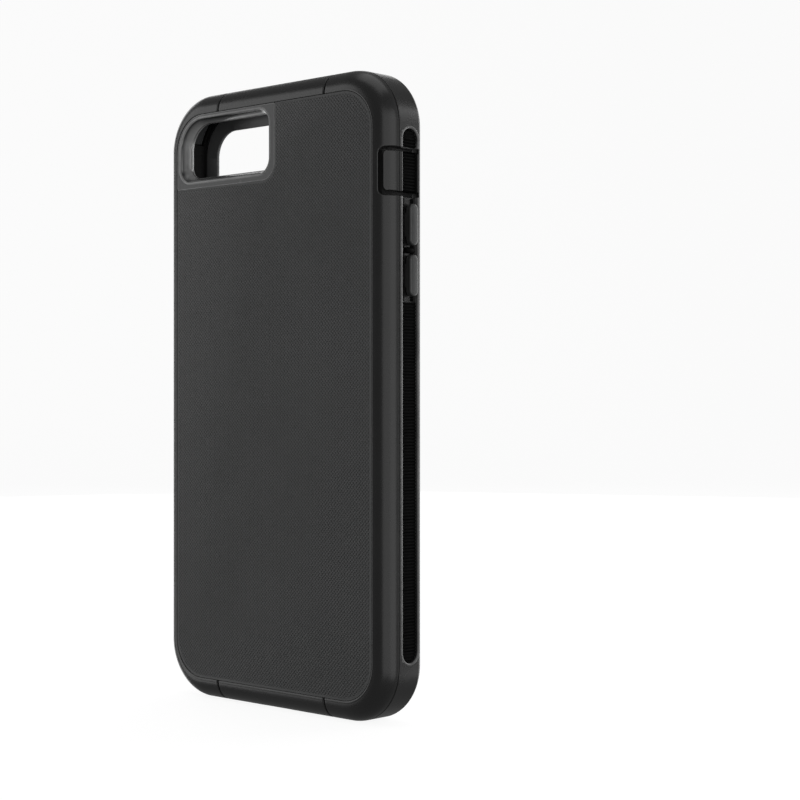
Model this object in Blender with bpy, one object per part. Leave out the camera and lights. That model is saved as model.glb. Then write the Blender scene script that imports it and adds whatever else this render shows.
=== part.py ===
# Two-part snap-together phone case, empty, standing on its bottom end.
# Frame: +Z runs from the bottom end to the camera end, -Y is the rear, +Y the screen side, and +X the side
# with the volume keys. The origin is the centre of the bottom end.
import math

import bmesh
import bpy
from mathutils import Matrix, Vector

MM = 0.001

# ---------- driving dimensions ----------
PHONE_WIDTH = 78.1 * MM
PHONE_HEIGHT = 158.4 * MM
PHONE_CORNER = 11.0 * MM
PHONE_CLEARANCE = 0.25 * MM
CASE_HALF_WIDTH = 42.3 * MM
CASE_HALF_HEIGHT = 83.0 * MM
CASE_CORNER = 15.0 * MM
MID = CASE_HALF_HEIGHT
FIT_GAP = 0.25 * MM
CORNER_STEPS = 6
# Along the two ends, everything inside the outline lies a little further in than along the sides
END_GAIN = 0.18
END_LIMIT = 1.0 * MM

# Levels along Y, from the rear to the screen side
PANEL_REAR = -7.0 * MM
PANEL_INNER = -5.45 * MM
FLANGE_REAR = -6.92 * MM
PAD_REAR = -3.6 * MM
PAD_FRONT = -2.8 * MM
TRAY_EDGE = 4.7 * MM
RIM_REAR = 4.9 * MM

# Bumper
BEAD_INSET = 4.85 * MM
ROUND_RADIUS = 4.95 * MM
ROUND_INSET = 5.0 * MM
ROUND_LEVEL = -2.05 * MM
SLIT_PLACE = 20.5 * MM
SLIT_WIDTH = 0.5 * MM
SLOT_REAR = -0.85 * MM
SLOT_FRONT = 4.65 * MM
SLOT_HALF_LENGTH = 67.3 * MM
SLOT_LIP = 0.2 * MM

# Tray wall and display window
TRAY_WALL = 1.0 * MM
WINDOW_INSET = 7.8 * MM

# Grip strips and keys, which sit in the slots
GRIP_INNER = 40.5 * MM
GRIP_OUTER = 41.8 * MM
KEY_BASE_OUTER = 41.2 * MM
KEY_INNER = 41.75 * MM
KEY_OUTER = 43.28 * MM
KEY_REAR = 1.3 * MM
KEY_FRONT = 4.3 * MM
KEY_TIP = 39.45 * MM
STEM_REAR = 1.5 * MM
STEM_FRONT = 2.9 * MM
STEM_HALF_LENGTH = 3.0 * MM
VOLUME_UP = 43.1 * MM
VOLUME_DOWN = 30.3 * MM
VOLUME_LENGTH = 10.7 * MM
POWER_PLACE = 41.75 * MM
POWER_LENGTH = 12.3 * MM
VOLUME_BASE = (23.8 * MM, 49.8 * MM)
POWER_BASE = (34.2 * MM, 49.3 * MM)

# Flap over the ring switch
FLAP_LOW = 51.2 * MM
FLAP_HIGH = 61.3 * MM
FLAP_GAP = 1.1 * MM
FLAP_START = math.radians(41)
FLAP_CUT_START = math.radians(24)
FLAP_AXIS = (42.4 * MM, 5.3 * MM)
FLAP_FRONT = 5.15 * MM
FLAP_FLOOR = 41.15 * MM
FLAP_INNER = 40.75 * MM

# Camera cut-out: the smooth surround, its rim and its throat, as (left, right, low, high) about mid-height
SURROUND = (-37.2 * MM, 2.0 * MM, 57.1 * MM, 76.97 * MM)
CAMERA_RIM = (-36.7 * MM, 0.2 * MM, 58.6 * MM, 76.6 * MM)
CAMERA_THROAT = (-35.0 * MM, -1.4 * MM, 60.3 * MM, 75.2 * MM)
THROAT_WALL = 0.8 * MM

# Bottom end
PORT_WIDTH = 13.2 * MM
PORT_REAR = -3.0 * MM
PORT_FRONT = 4.4 * MM
SPEAKER_PLACE = 14.5 * MM
SPEAKER_LENGTH = 8.0 * MM
SPEAKER_HEIGHT = 2.4 * MM
PHONE_MIDDLE = 1.15 * MM

# Snap tabs of the front rim: along the sides, then along the ends
TAB_LENGTH = 8.0 * MM
TAB_DEPTH = 2.3 * MM
TAB_THICKNESS = 0.7 * MM
SIDE_TABS = (-40.0 * MM, 8.0 * MM)
END_TABS = (-26.0 * MM, 26.0 * MM)


# ---------- scene and materials ----------
def clearScene():
    for thing in list(bpy.data.objects):
        bpy.data.objects.remove(thing, do_unlink=True)


def makeMaterial(name, colour, roughness, metallic=0.0):
    material = bpy.data.materials.new(name)
    material.use_nodes = True
    shader = material.node_tree.nodes["Principled BSDF"]
    shader.inputs["Base Color"].default_value = (*colour, 1.0)
    shader.inputs["Roughness"].default_value = roughness
    shader.inputs["Metallic"].default_value = metallic
    return material


def makeObject(name, bm, look=None, origin=(0.0, 0.0, MID)):
    """Turns a bmesh drawn about mid-height into an object whose origin is the given point."""
    bmesh.ops.recalc_face_normals(bm, faces=bm.faces)
    shift = Vector((0.0, 0.0, MID)) - Vector(origin)
    bm.transform(Matrix.Translation(shift))
    mesh = bpy.data.meshes.new(name)
    bm.to_mesh(mesh)
    bm.free()
    thing = bpy.data.objects.new(name, mesh)
    thing.location = origin
    bpy.context.scene.collection.objects.link(thing)
    if look:
        mesh.materials.append(look)
        mesh.shade_smooth()
        mesh.set_sharp_from_angle(angle=math.radians(35))
    return thing


def cutWith(target, cutter, operation="DIFFERENCE"):
    cutter.hide_render = True
    cutter.display_type = "WIRE"
    boolean = target.modifiers.new(cutter.name, "BOOLEAN")
    boolean.operation = operation
    boolean.solver = "EXACT"
    boolean.object = cutter


# ---------- outlines ----------
def cornerStations(halfWidth, halfHeight, radius, signX, signZ, start=0.0, end=90.0):
    """Stations round one corner, as (centre x, centre z, outward x, outward z), from the end to the side."""
    found = []
    for step in range(CORNER_STEPS + 1):
        angle = math.radians(start + (end - start) * step / CORNER_STEPS)
        found.append(
            (
                signX * (halfWidth - radius),
                signZ * (halfHeight - radius),
                signX * math.sin(angle),
                signZ * math.cos(angle),
            )
        )
    return found


def ringStations(halfWidth, halfHeight, radius):
    """Stations round a rounded rectangle, clockwise from the top end as seen from the screen side."""
    quarters = ((1, 1), (1, -1), (-1, -1), (-1, 1))
    corners = [cornerStations(halfWidth, halfHeight, radius, *signs) for signs in quarters]
    return corners[0] + corners[1][::-1] + corners[2] + corners[3][::-1]


def railStations(side):
    """Stations of one side rail: part of the top end, a corner, the side, a corner, part of the bottom."""
    start = side * (SLIT_PLACE + SLIT_WIDTH / 2)
    level = CASE_HALF_HEIGHT - CASE_CORNER
    top = cornerStations(CASE_HALF_WIDTH, CASE_HALF_HEIGHT, CASE_CORNER, side, 1)
    bottom = cornerStations(CASE_HALF_WIDTH, CASE_HALF_HEIGHT, CASE_CORNER, side, -1)[::-1]
    return [(start, level, 0.0, 1.0)] + top + bottom + [(start, -level, 0.0, -1.0)]


def capStations(end):
    reach = SLIT_PLACE - SLIT_WIDTH / 2
    level = end * (CASE_HALF_HEIGHT - CASE_CORNER)
    return [(-reach, level, 0.0, end), (reach, level, 0.0, end)]


def place(station, radius, inset, y, endGain=0.0):
    """The point this far inside the outline. endGain draws it further in along the ends."""
    centreX, centreZ, outX, outZ = station
    extra = math.copysign(min(endGain * inset, END_LIMIT), centreZ)
    return Vector((centreX + outX * (radius - inset), y, centreZ - extra + outZ * (radius - inset)))


def sweep(stations, profile, radius, closed, endGain=0.0):
    """Carries a closed profile of (inset, y) points along the stations. An open run gets flat ends."""
    bm = bmesh.new()
    rows = []
    for station in stations:
        rows.append([bm.verts.new(place(station, radius, inset, y, endGain)) for inset, y in profile])
    count = len(profile)
    runs = len(rows) if closed else len(rows) - 1
    for i in range(runs):
        first, second = rows[i], rows[(i + 1) % len(rows)]
        for j in range(count):
            k = (j + 1) % count
            bm.faces.new((first[j], first[k], second[k], second[j]))
    if not closed:
        bm.faces.new(rows[0])
        bm.faces.new(rows[-1][::-1])
    return bm


def loft(loops, closeProfile=False):
    """Joins loops of equal length. The two end loops are filled, or joined to each other as a ring."""
    bm = bmesh.new()
    rows = [[bm.verts.new(point) for point in loop] for loop in loops]
    count = len(rows[0])
    pairs = list(zip(rows[:-1], rows[1:]))
    if closeProfile:
        pairs.append((rows[-1], rows[0]))
    for first, second in pairs:
        for j in range(count):
            k = (j + 1) % count
            bm.faces.new((first[j], first[k], second[k], second[j]))
    if not closeProfile:
        bm.faces.new(rows[0])
        bm.faces.new(rows[-1][::-1])
    return bm


def boxLoops(low, high):
    """Two loops of a box with its corners at low and high."""
    corners = [(low[0], low[1]), (high[0], low[1]), (high[0], high[1]), (low[0], high[1])]
    return [[Vector((x, y, z)) for x, y in corners] for z in (low[2], high[2])]


def roundedLoop(left, right, low, high, radii, y):
    """A rounded rectangle in the XZ plane, with radii clockwise from the high right corner."""
    points = []
    corners = ((right, high, 1, 1), (right, low, 1, -1), (left, low, -1, -1), (left, high, -1, 1))
    for number, (x, z, signX, signZ) in enumerate(corners):
        radius = radii[number]
        for step in range(CORNER_STEPS + 1):
            share = step / CORNER_STEPS
            angle = math.radians(90 * (share if number % 2 == 0 else 1 - share))
            across, up = signX * (math.sin(angle) - 1), signZ * (math.cos(angle) - 1)
            points.append(Vector((x + radius * across, y, z + radius * up)))
    return points


def stadiumLoop(x, rear, front, low, high, steps=5):
    """A slot outline with round ends, in the plane at this x, long along Z."""
    radius = (front - rear) / 2
    middle = (front + rear) / 2
    points = []
    for centre, sign in ((high - radius, 1), (low + radius, -1)):
        for step in range(steps + 1):
            angle = math.pi * step / steps
            across, up = sign * radius * math.cos(angle), sign * radius * math.sin(angle)
            points.append(Vector((x, middle + across, centre + up)))
    return points


def prismXY(corners, low, high):
    """A prism whose XY outline is given, from one height to another."""
    return loft([[Vector((x, y, z)) for x, y in corners] for z in (low, high)])


def addTo(bm, other):
    """Copies another bmesh into this one."""
    mesh = bpy.data.meshes.new("scratch")
    other.to_mesh(mesh)
    other.free()
    bm.from_mesh(mesh)
    bpy.data.meshes.remove(mesh)


# ---------- bumper ----------
def roundPoint(angle, radius=ROUND_RADIUS):
    """A point on the rear roundover, as (inset, y). The angle is 0 facing the rear and 90 at the side."""
    return ROUND_INSET - radius * math.sin(angle), ROUND_LEVEL - radius * math.cos(angle)


def bumperProfile():
    """Closed section of the bumper: bead, roundover, crease, flat side, front roundover, inner face."""
    start = math.radians(14)
    arc = [roundPoint(start + (math.pi / 2 - start) * step / 7) for step in range(8)]
    bead = [(BEAD_INSET / MM, -5.4), (BEAD_INSET / MM, -6.7), (4.65, -6.87), (4.4, -6.93), (4.05, -6.9)]
    side = [(0.3, -1.85), (0.3, -1.65), (0.0, -1.45), (0.0, 5.3)]
    front = [(0.15, 5.95), (0.6, 6.45), (1.25, 6.72), (1.7, 6.7)]
    inner = [(1.7, -2.3), (2.05, -3.7), (3.0, -4.9), (4.3, -5.4)]
    scaled = [[(inset * MM, y * MM) for inset, y in part] for part in (bead, side + front + inner)]
    return scaled[0] + arc + scaled[1]


def slotLip(side):
    """The low raised edge round a slot, with sloping sides."""
    loops = []
    for level, grow in ((-0.4 * MM, 1.2 * MM), (0.0, 0.9 * MM), (SLOT_LIP, 0.45 * MM)):
        loops.append(
            stadiumLoop(
                side * (CASE_HALF_WIDTH + level),
                SLOT_REAR - grow,
                SLOT_FRONT + grow,
                -SLOT_HALF_LENGTH - grow,
                SLOT_HALF_LENGTH + grow,
            )
        )
    return loft(loops)


def makeRail(side, name, look):
    rail = makeObject(name, sweep(railStations(side), bumperProfile(), CASE_CORNER, False, END_GAIN), look)
    cutWith(rail, makeObject(name + "_slot_lip", slotLip(side)), "UNION")
    reach = [
        stadiumLoop(side * x, SLOT_REAR, SLOT_FRONT, -SLOT_HALF_LENGTH, SLOT_HALF_LENGTH)
        for x in (39.0 * MM, 44.0 * MM)
    ]
    cutWith(rail, makeObject(name + "_slot", loft(reach)))
    return rail


def makeCap(end, name, look):
    return makeObject(name, sweep(capStations(end), bumperProfile(), CASE_CORNER, False, END_GAIN), look)


def cutFlapOpening(rail):
    """Opens the rail round the flap, up to the hinge line in front of the slot."""
    low, high = FLAP_LOW - FLAP_GAP, FLAP_HIGH + FLAP_GAP
    ends = [roundPoint(FLAP_CUT_START, reach) for reach in (6.5 * MM, 2.0 * MM)]
    outer, inner = [(CASE_HALF_WIDTH - inset, y) for inset, y in ends]
    front = FLAP_FRONT + 0.2 * MM
    corners = [outer, inner, (inner[0], front), (44.0 * MM, front), (44.0 * MM, outer[1])]
    cutWith(rail, makeObject("flap_opening", prismXY(corners, low, high)))


def makeFlap(look):
    """Section of the flap: roundover, crease, slot edge, floor of the slot, front edge, and an inner face."""
    arc = [roundPoint(FLAP_START + (math.pi / 2 - FLAP_START) * step / 5) for step in range(6)]
    inner = [roundPoint(math.pi / 2 + (FLAP_START - math.pi / 2) * step / 3, 3.5 * MM) for step in range(4)]
    side = [(42.0, -1.85), (42.0, -1.65), (42.3, -1.45), (42.5, -1.2), (42.5, -0.85)]
    outline = [(CASE_HALF_WIDTH - inset, y) for inset, y in arc]
    outline += [(x * MM, y * MM) for x, y in side]
    outline += [(FLAP_FLOOR, SLOT_REAR), (FLAP_FLOOR, SLOT_FRONT)]
    outline += [(42.5 * MM, SLOT_FRONT), (42.4 * MM, FLAP_FRONT)]
    outline += [(41.6 * MM, FLAP_FRONT), (FLAP_INNER, 4.4 * MM), (FLAP_INNER, -1.9 * MM)]
    outline += [(CASE_HALF_WIDTH - inset, y) for inset, y in inner]
    origin = (FLAP_AXIS[0], FLAP_AXIS[1], MID + (FLAP_LOW + FLAP_HIGH) / 2)
    return makeObject("switch_flap", prismXY(outline, FLAP_LOW, FLAP_HIGH), look, origin)


def makeFlapGrip(look):
    low = (FLAP_FLOOR + 0.15 * MM, SLOT_REAR + 0.15 * MM, FLAP_LOW)
    high = (GRIP_OUTER, SLOT_FRONT - 0.15 * MM, FLAP_HIGH)
    origin = (FLAP_AXIS[0], FLAP_AXIS[1], MID + (FLAP_LOW + FLAP_HIGH) / 2)
    return makeObject("switch_flap_grip", loft(boxLoops(low, high)), look, origin)


# ---------- rear panel and camera surround ----------
def cameraLoop(edges, grow, y, bigRadius, radius):
    left, right, low, high = edges
    radii = [radius, radius, radius, bigRadius]
    return roundedLoop(left - grow, right + grow, low - grow, high + grow, radii, y)


def makeRearPanel(look):
    inset = BEAD_INSET + FIT_GAP
    outline = ringStations(CASE_HALF_WIDTH, CASE_HALF_HEIGHT, CASE_CORNER)
    edge = 0.2 * MM
    levels = ((0.0, PANEL_INNER), (0.0, PANEL_REAR + edge), (edge, PANEL_REAR))
    loops = []
    for more, y in levels:
        loops.append([place(station, CASE_CORNER, inset + more, y, END_GAIN) for station in outline])
    panel = makeObject("rear_panel", loft(loops), look)
    right, low = SURROUND[1] + FIT_GAP, SURROUND[2] - FIT_GAP
    radii = [1 * MM, 5 * MM, 1 * MM, 1 * MM]
    corner = [roundedLoop(-50 * MM, right, low, 90 * MM, radii, y) for y in (-9 * MM, -4 * MM)]
    cutWith(panel, makeObject("panel_camera_cut", loft(corner)))
    return panel


def makeCameraSurround(look):
    """A flange level with the bead, a thin rim, walls sloping in to the throat, and a sleeve."""
    square, bevel = 0.3 * MM, 0.15 * MM
    left, right, low, high = outer = SURROUND
    flange = [square, 4.8 * MM, square, 9.9 * MM]
    big, small = 9.4 * MM, 4.5 * MM
    loops = [
        roundedLoop(*outer, flange, PANEL_INNER),
        roundedLoop(*outer, flange, FLANGE_REAR + bevel),
        roundedLoop(left + bevel, right - bevel, low + bevel, high - bevel, flange, FLANGE_REAR),
        cameraLoop(CAMERA_RIM, 0.0, FLANGE_REAR, big, small),
        cameraLoop(CAMERA_RIM, -bevel, FLANGE_REAR + bevel, big, small),
        cameraLoop(CAMERA_THROAT, 0.0, -4.0 * MM, 7.4 * MM, 3.4 * MM),
        cameraLoop(CAMERA_THROAT, 0.0, -3.0 * MM, 7.4 * MM, 3.4 * MM),
        cameraLoop(CAMERA_THROAT, THROAT_WALL, -3.0 * MM, 7.9 * MM, 3.9 * MM),
        cameraLoop(CAMERA_THROAT, THROAT_WALL, PANEL_INNER, 7.9 * MM, 3.9 * MM),
    ]
    return makeObject("camera_surround", loft(loops, closeProfile=True), look)


def cameraHole(name):
    """Cutter that clears the surround's sleeve."""
    grow = THROAT_WALL + FIT_GAP
    loops = [cameraLoop(CAMERA_THROAT, grow, y, 8.1 * MM, 4.1 * MM) for y in (-8 * MM, -2 * MM)]
    return makeObject(name, loft(loops))


# ---------- inner tray ----------
def speakerSpans():
    """The left and right ends of the two speaker slots, one on each side of the charging port."""
    half = SPEAKER_LENGTH / 2
    return [(centre - half, centre + half) for centre in (-SPEAKER_PLACE, SPEAKER_PLACE)]


def trayStations():
    halfWidth = PHONE_WIDTH / 2 + PHONE_CLEARANCE + TRAY_WALL
    halfHeight = PHONE_HEIGHT / 2 + PHONE_CLEARANCE + TRAY_WALL
    radius = PHONE_CORNER + PHONE_CLEARANCE + TRAY_WALL
    return halfWidth, halfHeight, radius


def sideBox(side, low, high, rear, front, inner=38.5 * MM, outer=41.0 * MM):
    """A box cutter through one side wall of the tray."""
    ends = sorted((side * inner, side * outer))
    return loft(boxLoops((ends[0], rear, low), (ends[1], front, high)))


def endBox(end, left, right, rear, front, inner=78.6 * MM, outer=81.0 * MM):
    """A box cutter through one end wall of the tray."""
    ends = sorted((end * inner, end * outer))
    return loft(boxLoops((left, rear, ends[0]), (right, front, ends[1])))


def cushionSection(grow):
    """Rectangle of (inset from the tray's outer face, y) for a corner cushion, grown on every side."""
    outer, inner = -0.05 * MM, TRAY_WALL - 0.1 * MM
    rear, front = -1.2 * MM, 3.6 * MM
    outer, inner, rear, front = outer - grow, inner + grow, rear - grow, front + grow
    return [(outer, rear), (outer, front), (inner, front), (inner, rear)]


def cornerCushion(signX, signZ, grow, spread):
    halfWidth, halfHeight, radius = trayStations()
    stations = cornerStations(halfWidth, halfHeight, radius, signX, signZ, 45 - spread, 45 + spread)
    return sweep(stations, cushionSection(grow), radius, False)


def makeTray(look):
    """A dish with round edges: outer loops from the edge to the rear, then inner loops back from the edge."""
    halfWidth, halfHeight, radius = trayStations()
    stations = ringStations(halfWidth, halfHeight, radius)
    outer = [(2.45, -5.2), (1.25, -4.65), (0.35, -3.55), (0.0, -2.3), (0.0, 4.7)]
    inner = [(1.0, 4.7), (1.0, -1.7), (1.3, -2.7), (2.0, -3.5), (2.9, -3.8)]
    loops = []
    for inset, y in outer + inner:
        loops.append([place(station, radius, inset * MM, y * MM) for station in stations])
    tray = makeObject("inner_tray", loft(loops), look)
    cutWith(tray, cameraHole("tray_camera_hole"))

    windows = bmesh.new()
    key = 0.4 * MM
    for side, centre in ((1, VOLUME_UP), (1, VOLUME_DOWN), (-1, POWER_PLACE)):
        low, high = centre - STEM_HALF_LENGTH - key, centre + STEM_HALF_LENGTH + key
        addTo(windows, sideBox(side, low, high, STEM_REAR - key, STEM_FRONT + key))
    addTo(windows, sideBox(1, FLAP_LOW + 1.2 * MM, FLAP_HIGH - 1.2 * MM, -0.9 * MM, 3.5 * MM))
    margin = 0.3 * MM
    notchRear = TRAY_EDGE - TAB_DEPTH - margin
    for side in (-1, 1):
        for centre in SIDE_TABS:
            half = TAB_LENGTH / 2 + margin
            addTo(windows, sideBox(side, centre - half, centre + half, notchRear, 6 * MM))
    for end in (-1, 1):
        for centre in END_TABS:
            half = TAB_LENGTH / 2 + margin
            addTo(windows, endBox(end, centre - half, centre + half, notchRear, 6 * MM))
    addTo(windows, endBox(-1, -PORT_WIDTH / 2, PORT_WIDTH / 2, -2.3 * MM, 3.9 * MM))
    for left, right in speakerSpans():
        half = SPEAKER_HEIGHT / 2
        addTo(windows, endBox(-1, left, right, PHONE_MIDDLE - half, PHONE_MIDDLE + half))
    cutWith(tray, makeObject("tray_windows", windows))

    corners = bmesh.new()
    for signX in (-1, 1):
        for signZ in (-1, 1):
            cutter = cornerCushion(signX, signZ, 0.35 * MM, 32)
            bmesh.ops.recalc_face_normals(cutter, faces=cutter.faces)
            addTo(corners, cutter)
    cutWith(tray, makeObject("tray_corner_windows", corners))
    return tray


def makeCushions(look):
    for signX, sideName in ((-1, "left"), (1, "right")):
        for signZ, endName in ((-1, "bottom"), (1, "top")):
            name = f"corner_cushion_{endName}_{sideName}"
            makeObject(name, cornerCushion(signX, signZ, 0.0, 30), look)


def makePad(look):
    halfWidth, halfHeight, radius = 36.9 * MM, 77.0 * MM, 8.9 * MM
    outline = ringStations(halfWidth, halfHeight, radius)
    loops = [[place(station, radius, 0.0, y) for station in outline] for y in (PAD_REAR, PAD_FRONT)]
    pad = makeObject("back_pad", loft(loops), look)
    grow = THROAT_WALL + 0.5 * MM
    hole = [cameraLoop(CAMERA_THROAT, grow, y, 8.3 * MM, 4.3 * MM) for y in (-5 * MM, -2 * MM)]
    cutWith(pad, makeObject("pad_camera_hole", loft(hole)))
    return pad


# ---------- grips and keys in the slots ----------
def makeGrip(name, side, low, high, roundEnd, look):
    """A strip across the slot. roundEnd is 1 for a round top, -1 for a round bottom, like the slot's ends."""
    rear, front = SLOT_REAR + 0.15 * MM, SLOT_FRONT - 0.15 * MM
    radius, middle, steps = (front - rear) / 2, (front + rear) / 2, 5
    flat, end = (low, high) if roundEnd > 0 else (high, low)
    outline = [(rear, flat), (front, flat)]
    for step in range(steps + 1):
        angle = math.pi * step / steps
        outline.append((middle + radius * math.cos(angle), end + roundEnd * radius * (math.sin(angle) - 1)))
    loops = [[Vector((side * x, y, z)) for y, z in outline] for x in (GRIP_INNER, GRIP_OUTER)]
    return makeObject(name, loft(loops), look)


def makeKeyBase(name, side, span, centres, look):
    """Rubber base under the keys: a plate with a hole for each stem, and a saddle between two keys."""
    rear, front = SLOT_REAR + 0.15 * MM, SLOT_FRONT - 0.15 * MM
    low = (min(side * GRIP_INNER, side * KEY_BASE_OUTER), rear, span[0])
    high = (max(side * GRIP_INNER, side * KEY_BASE_OUTER), front, span[1])
    base = makeObject(name, loft(boxLoops(low, high)), look)
    holes = bmesh.new()
    half = STEM_HALF_LENGTH + FIT_GAP
    holeRear, holeFront = STEM_REAR - FIT_GAP, STEM_FRONT + FIT_GAP
    for centre in centres:
        addTo(holes, sideBox(side, centre - half, centre + half, holeRear, holeFront, 39 * MM, 43 * MM))
    cutWith(base, makeObject(name + "_holes", holes))
    if len(centres) == 2:
        middle, wide, edge = sum(centres) / 2, 0.7 * MM, 0.4 * MM
        saddle = sideBox(side, middle - wide, middle + wide, rear + edge, front - edge, 41.0 * MM, 41.7 * MM)
        cutWith(base, makeObject(name + "_saddle", saddle), "UNION")
    return base


def makeKey(name, side, centre, length, look):
    """A pill-shaped cap with a rounded face and a stem that reaches through the base and the tray."""
    low, high = centre - length / 2, centre + length / 2
    levels = ((KEY_INNER, 0.0), (KEY_OUTER - 0.5 * MM, 0.0))
    levels += ((KEY_OUTER - 0.15 * MM, 0.15 * MM), (KEY_OUTER, 0.5 * MM))
    loops = []
    for x, inset in levels:
        loops.append(stadiumLoop(side * x, KEY_REAR + inset, KEY_FRONT - inset, low + inset, high - inset))
    key = makeObject(name, loft(loops), look, (side * KEY_INNER, (KEY_REAR + KEY_FRONT) / 2, MID + centre))
    half = STEM_HALF_LENGTH
    stem = sideBox(side, centre - half, centre + half, STEM_REAR, STEM_FRONT, KEY_TIP, KEY_INNER + 0.4 * MM)
    cutWith(key, makeObject(name + "_stem", stem), "UNION")
    return key


# ---------- front half ----------
def makeFrontRim(look):
    """The black lip round the screen side, with snap tabs that drop into notches in the tray's wall."""
    section = [(3.25, 4.9), (2.0, 4.9), (2.0, 6.5), (2.2, 6.82), (2.6, 6.96), (3.1, 7.0), (3.5, 6.88)]
    section += [(4.8, 6.2), (4.8, 5.85), (3.25, 5.85)]
    profile = [(inset * MM, y * MM) for inset, y in section]
    stations = ringStations(CASE_HALF_WIDTH, CASE_HALF_HEIGHT, CASE_CORNER)
    rim = makeObject("front_rim", sweep(stations, profile, CASE_CORNER, True, END_GAIN), look)
    tabs = bmesh.new()
    half, margin = TAB_LENGTH / 2, 0.15 * MM
    rear, front = TRAY_EDGE - TAB_DEPTH, RIM_REAR + 0.5 * MM
    for side in (-1, 1):
        inner = PHONE_WIDTH / 2 + PHONE_CLEARANCE + margin
        outer = inner + TAB_THICKNESS
        for centre in SIDE_TABS:
            addTo(tabs, sideBox(side, centre - half, centre + half, rear, front, inner, outer))
    for end in (-1, 1):
        inner = PHONE_HEIGHT / 2 + PHONE_CLEARANCE + margin
        outer = inner + TAB_THICKNESS
        for centre in END_TABS:
            addTo(tabs, endBox(end, centre - half, centre + half, rear, front, inner, outer))
    cutWith(rim, makeObject("front_rim_tabs", tabs), "UNION")
    return rim


def makeFrontFrame(look):
    """The grey ring round the display, held under the lip by a thin flange, with a scoop at the bottom."""
    inner = WINDOW_INSET / MM
    section = [(3.5, 5.1), (3.5, 5.6), (5.0, 5.6), (5.0, 6.1)]
    section += [(inner - 0.25, 6.1), (inner, 5.85), (inner, 5.1)]
    profile = [(inset * MM, y * MM) for inset, y in section]
    stations = ringStations(CASE_HALF_WIDTH, CASE_HALF_HEIGHT, CASE_CORNER)
    frame = makeObject("front_frame", sweep(stations, profile, CASE_CORNER, True, END_GAIN), look)
    edge = -(CASE_HALF_HEIGHT - WINDOW_INSET - min(END_GAIN * WINDOW_INSET, END_LIMIT))
    halfTop, halfBottom, depth = 7.25 * MM, 6.15 * MM, 1.6 * MM
    slope = (halfTop - halfBottom) / depth
    above = 2.0 * MM
    outline = [
        (-halfTop - slope * above, edge + above),
        (halfTop + slope * above, edge + above),
        (halfBottom, edge - depth),
        (-halfBottom, edge - depth),
    ]
    scoop = loft([[Vector((x, y, z)) for x, z in outline] for y in (4 * MM, 8 * MM)])
    cutWith(frame, makeObject("frame_scoop", scoop))
    return frame


# ---------- bottom end ----------
def cutPort(cap):
    """The charging port's opening, which flares at the outer face, with a speaker slot on each side."""
    half = PORT_WIDTH / 2
    flare = 0.8 * MM
    loops = []
    for z, grow in ((-79 * MM, 0.0), (-81.9 * MM, 0.0), (-84 * MM, 1.6 * flare)):
        rear, front, radius = PORT_REAR - grow, PORT_FRONT + grow, 2.4 * MM + grow
        points = roundedLoop(-half - grow, half + grow, rear, front, [radius] * 4, 0.0)
        loops.append([Vector((point.x, point.z, z)) for point in points])
    cutWith(cap, makeObject("port_opening", loft(loops)))
    slots = bmesh.new()
    for left, right in speakerSpans():
        rear, front = PHONE_MIDDLE - SPEAKER_HEIGHT / 2, PHONE_MIDDLE + SPEAKER_HEIGHT / 2
        radius = SPEAKER_HEIGHT / 2 - 0.01 * MM
        outline = roundedLoop(left, right, rear, front, [radius] * 4, 0.0)
        loops = []
        for z in (-79 * MM, -84 * MM):
            loops.append([Vector((point.x, point.z, z)) for point in outline])
        addTo(slots, loft(loops))
    cutWith(cap, makeObject("speaker_slots", slots))


# ---------- assembly ----------
def build():
    clearScene()
    bumperRubber = makeMaterial("bumper_rubber", (0.022, 0.022, 0.024), 0.5)
    panelPlastic = makeMaterial("panel_plastic", (0.045, 0.047, 0.048), 0.6)
    trayPlastic = makeMaterial("tray_plastic", (0.02, 0.02, 0.022), 0.45)
    framePlastic = makeMaterial("frame_plastic", (0.09, 0.09, 0.092), 0.5)
    gripRubber = makeMaterial("grip_rubber", (0.008, 0.008, 0.009), 0.55)
    keyPlastic = makeMaterial("key_plastic", (0.03, 0.032, 0.033), 0.45)
    padFoam = makeMaterial("pad_foam", (0.03, 0.03, 0.032), 0.9)
    gelRubber = makeMaterial("gel_rubber", (0.05, 0.05, 0.052), 0.5)

    rightRail = makeRail(1, "side_rail_right", bumperRubber)
    cutFlapOpening(rightRail)
    makeRail(-1, "side_rail_left", bumperRubber)
    makeCap(1, "top_cap", bumperRubber)
    cutPort(makeCap(-1, "bottom_cap", bumperRubber))
    makeFlap(bumperRubber)
    makeFlapGrip(gripRubber)

    makeRearPanel(panelPlastic)
    makeCameraSurround(keyPlastic)
    makeTray(trayPlastic)
    makeCushions(gelRubber)
    makePad(padFoam)

    end, space = SLOT_HALF_LENGTH - 0.15 * MM, 0.3 * MM
    makeGrip("grip_strip_right_lower", 1, -end, VOLUME_BASE[0] - space, -1, gripRubber)
    makeGrip("grip_strip_right_upper", 1, FLAP_HIGH + FLAP_GAP + space, end, 1, gripRubber)
    makeGrip("grip_strip_left_lower", -1, -end, POWER_BASE[0] - space, -1, gripRubber)
    makeGrip("grip_strip_left_upper", -1, POWER_BASE[1] + space, end, 1, gripRubber)
    makeKeyBase("volume_key_base", 1, VOLUME_BASE, (VOLUME_UP, VOLUME_DOWN), gripRubber)
    makeKeyBase("power_key_base", -1, POWER_BASE, (POWER_PLACE,), gripRubber)
    makeKey("volume_up_button", 1, VOLUME_UP, VOLUME_LENGTH, keyPlastic)
    makeKey("volume_down_button", 1, VOLUME_DOWN, VOLUME_LENGTH, keyPlastic)
    makeKey("power_button", -1, POWER_PLACE, POWER_LENGTH, keyPlastic)

    makeFrontRim(trayPlastic)
    makeFrontFrame(framePlastic)


build()
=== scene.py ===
import math

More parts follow.
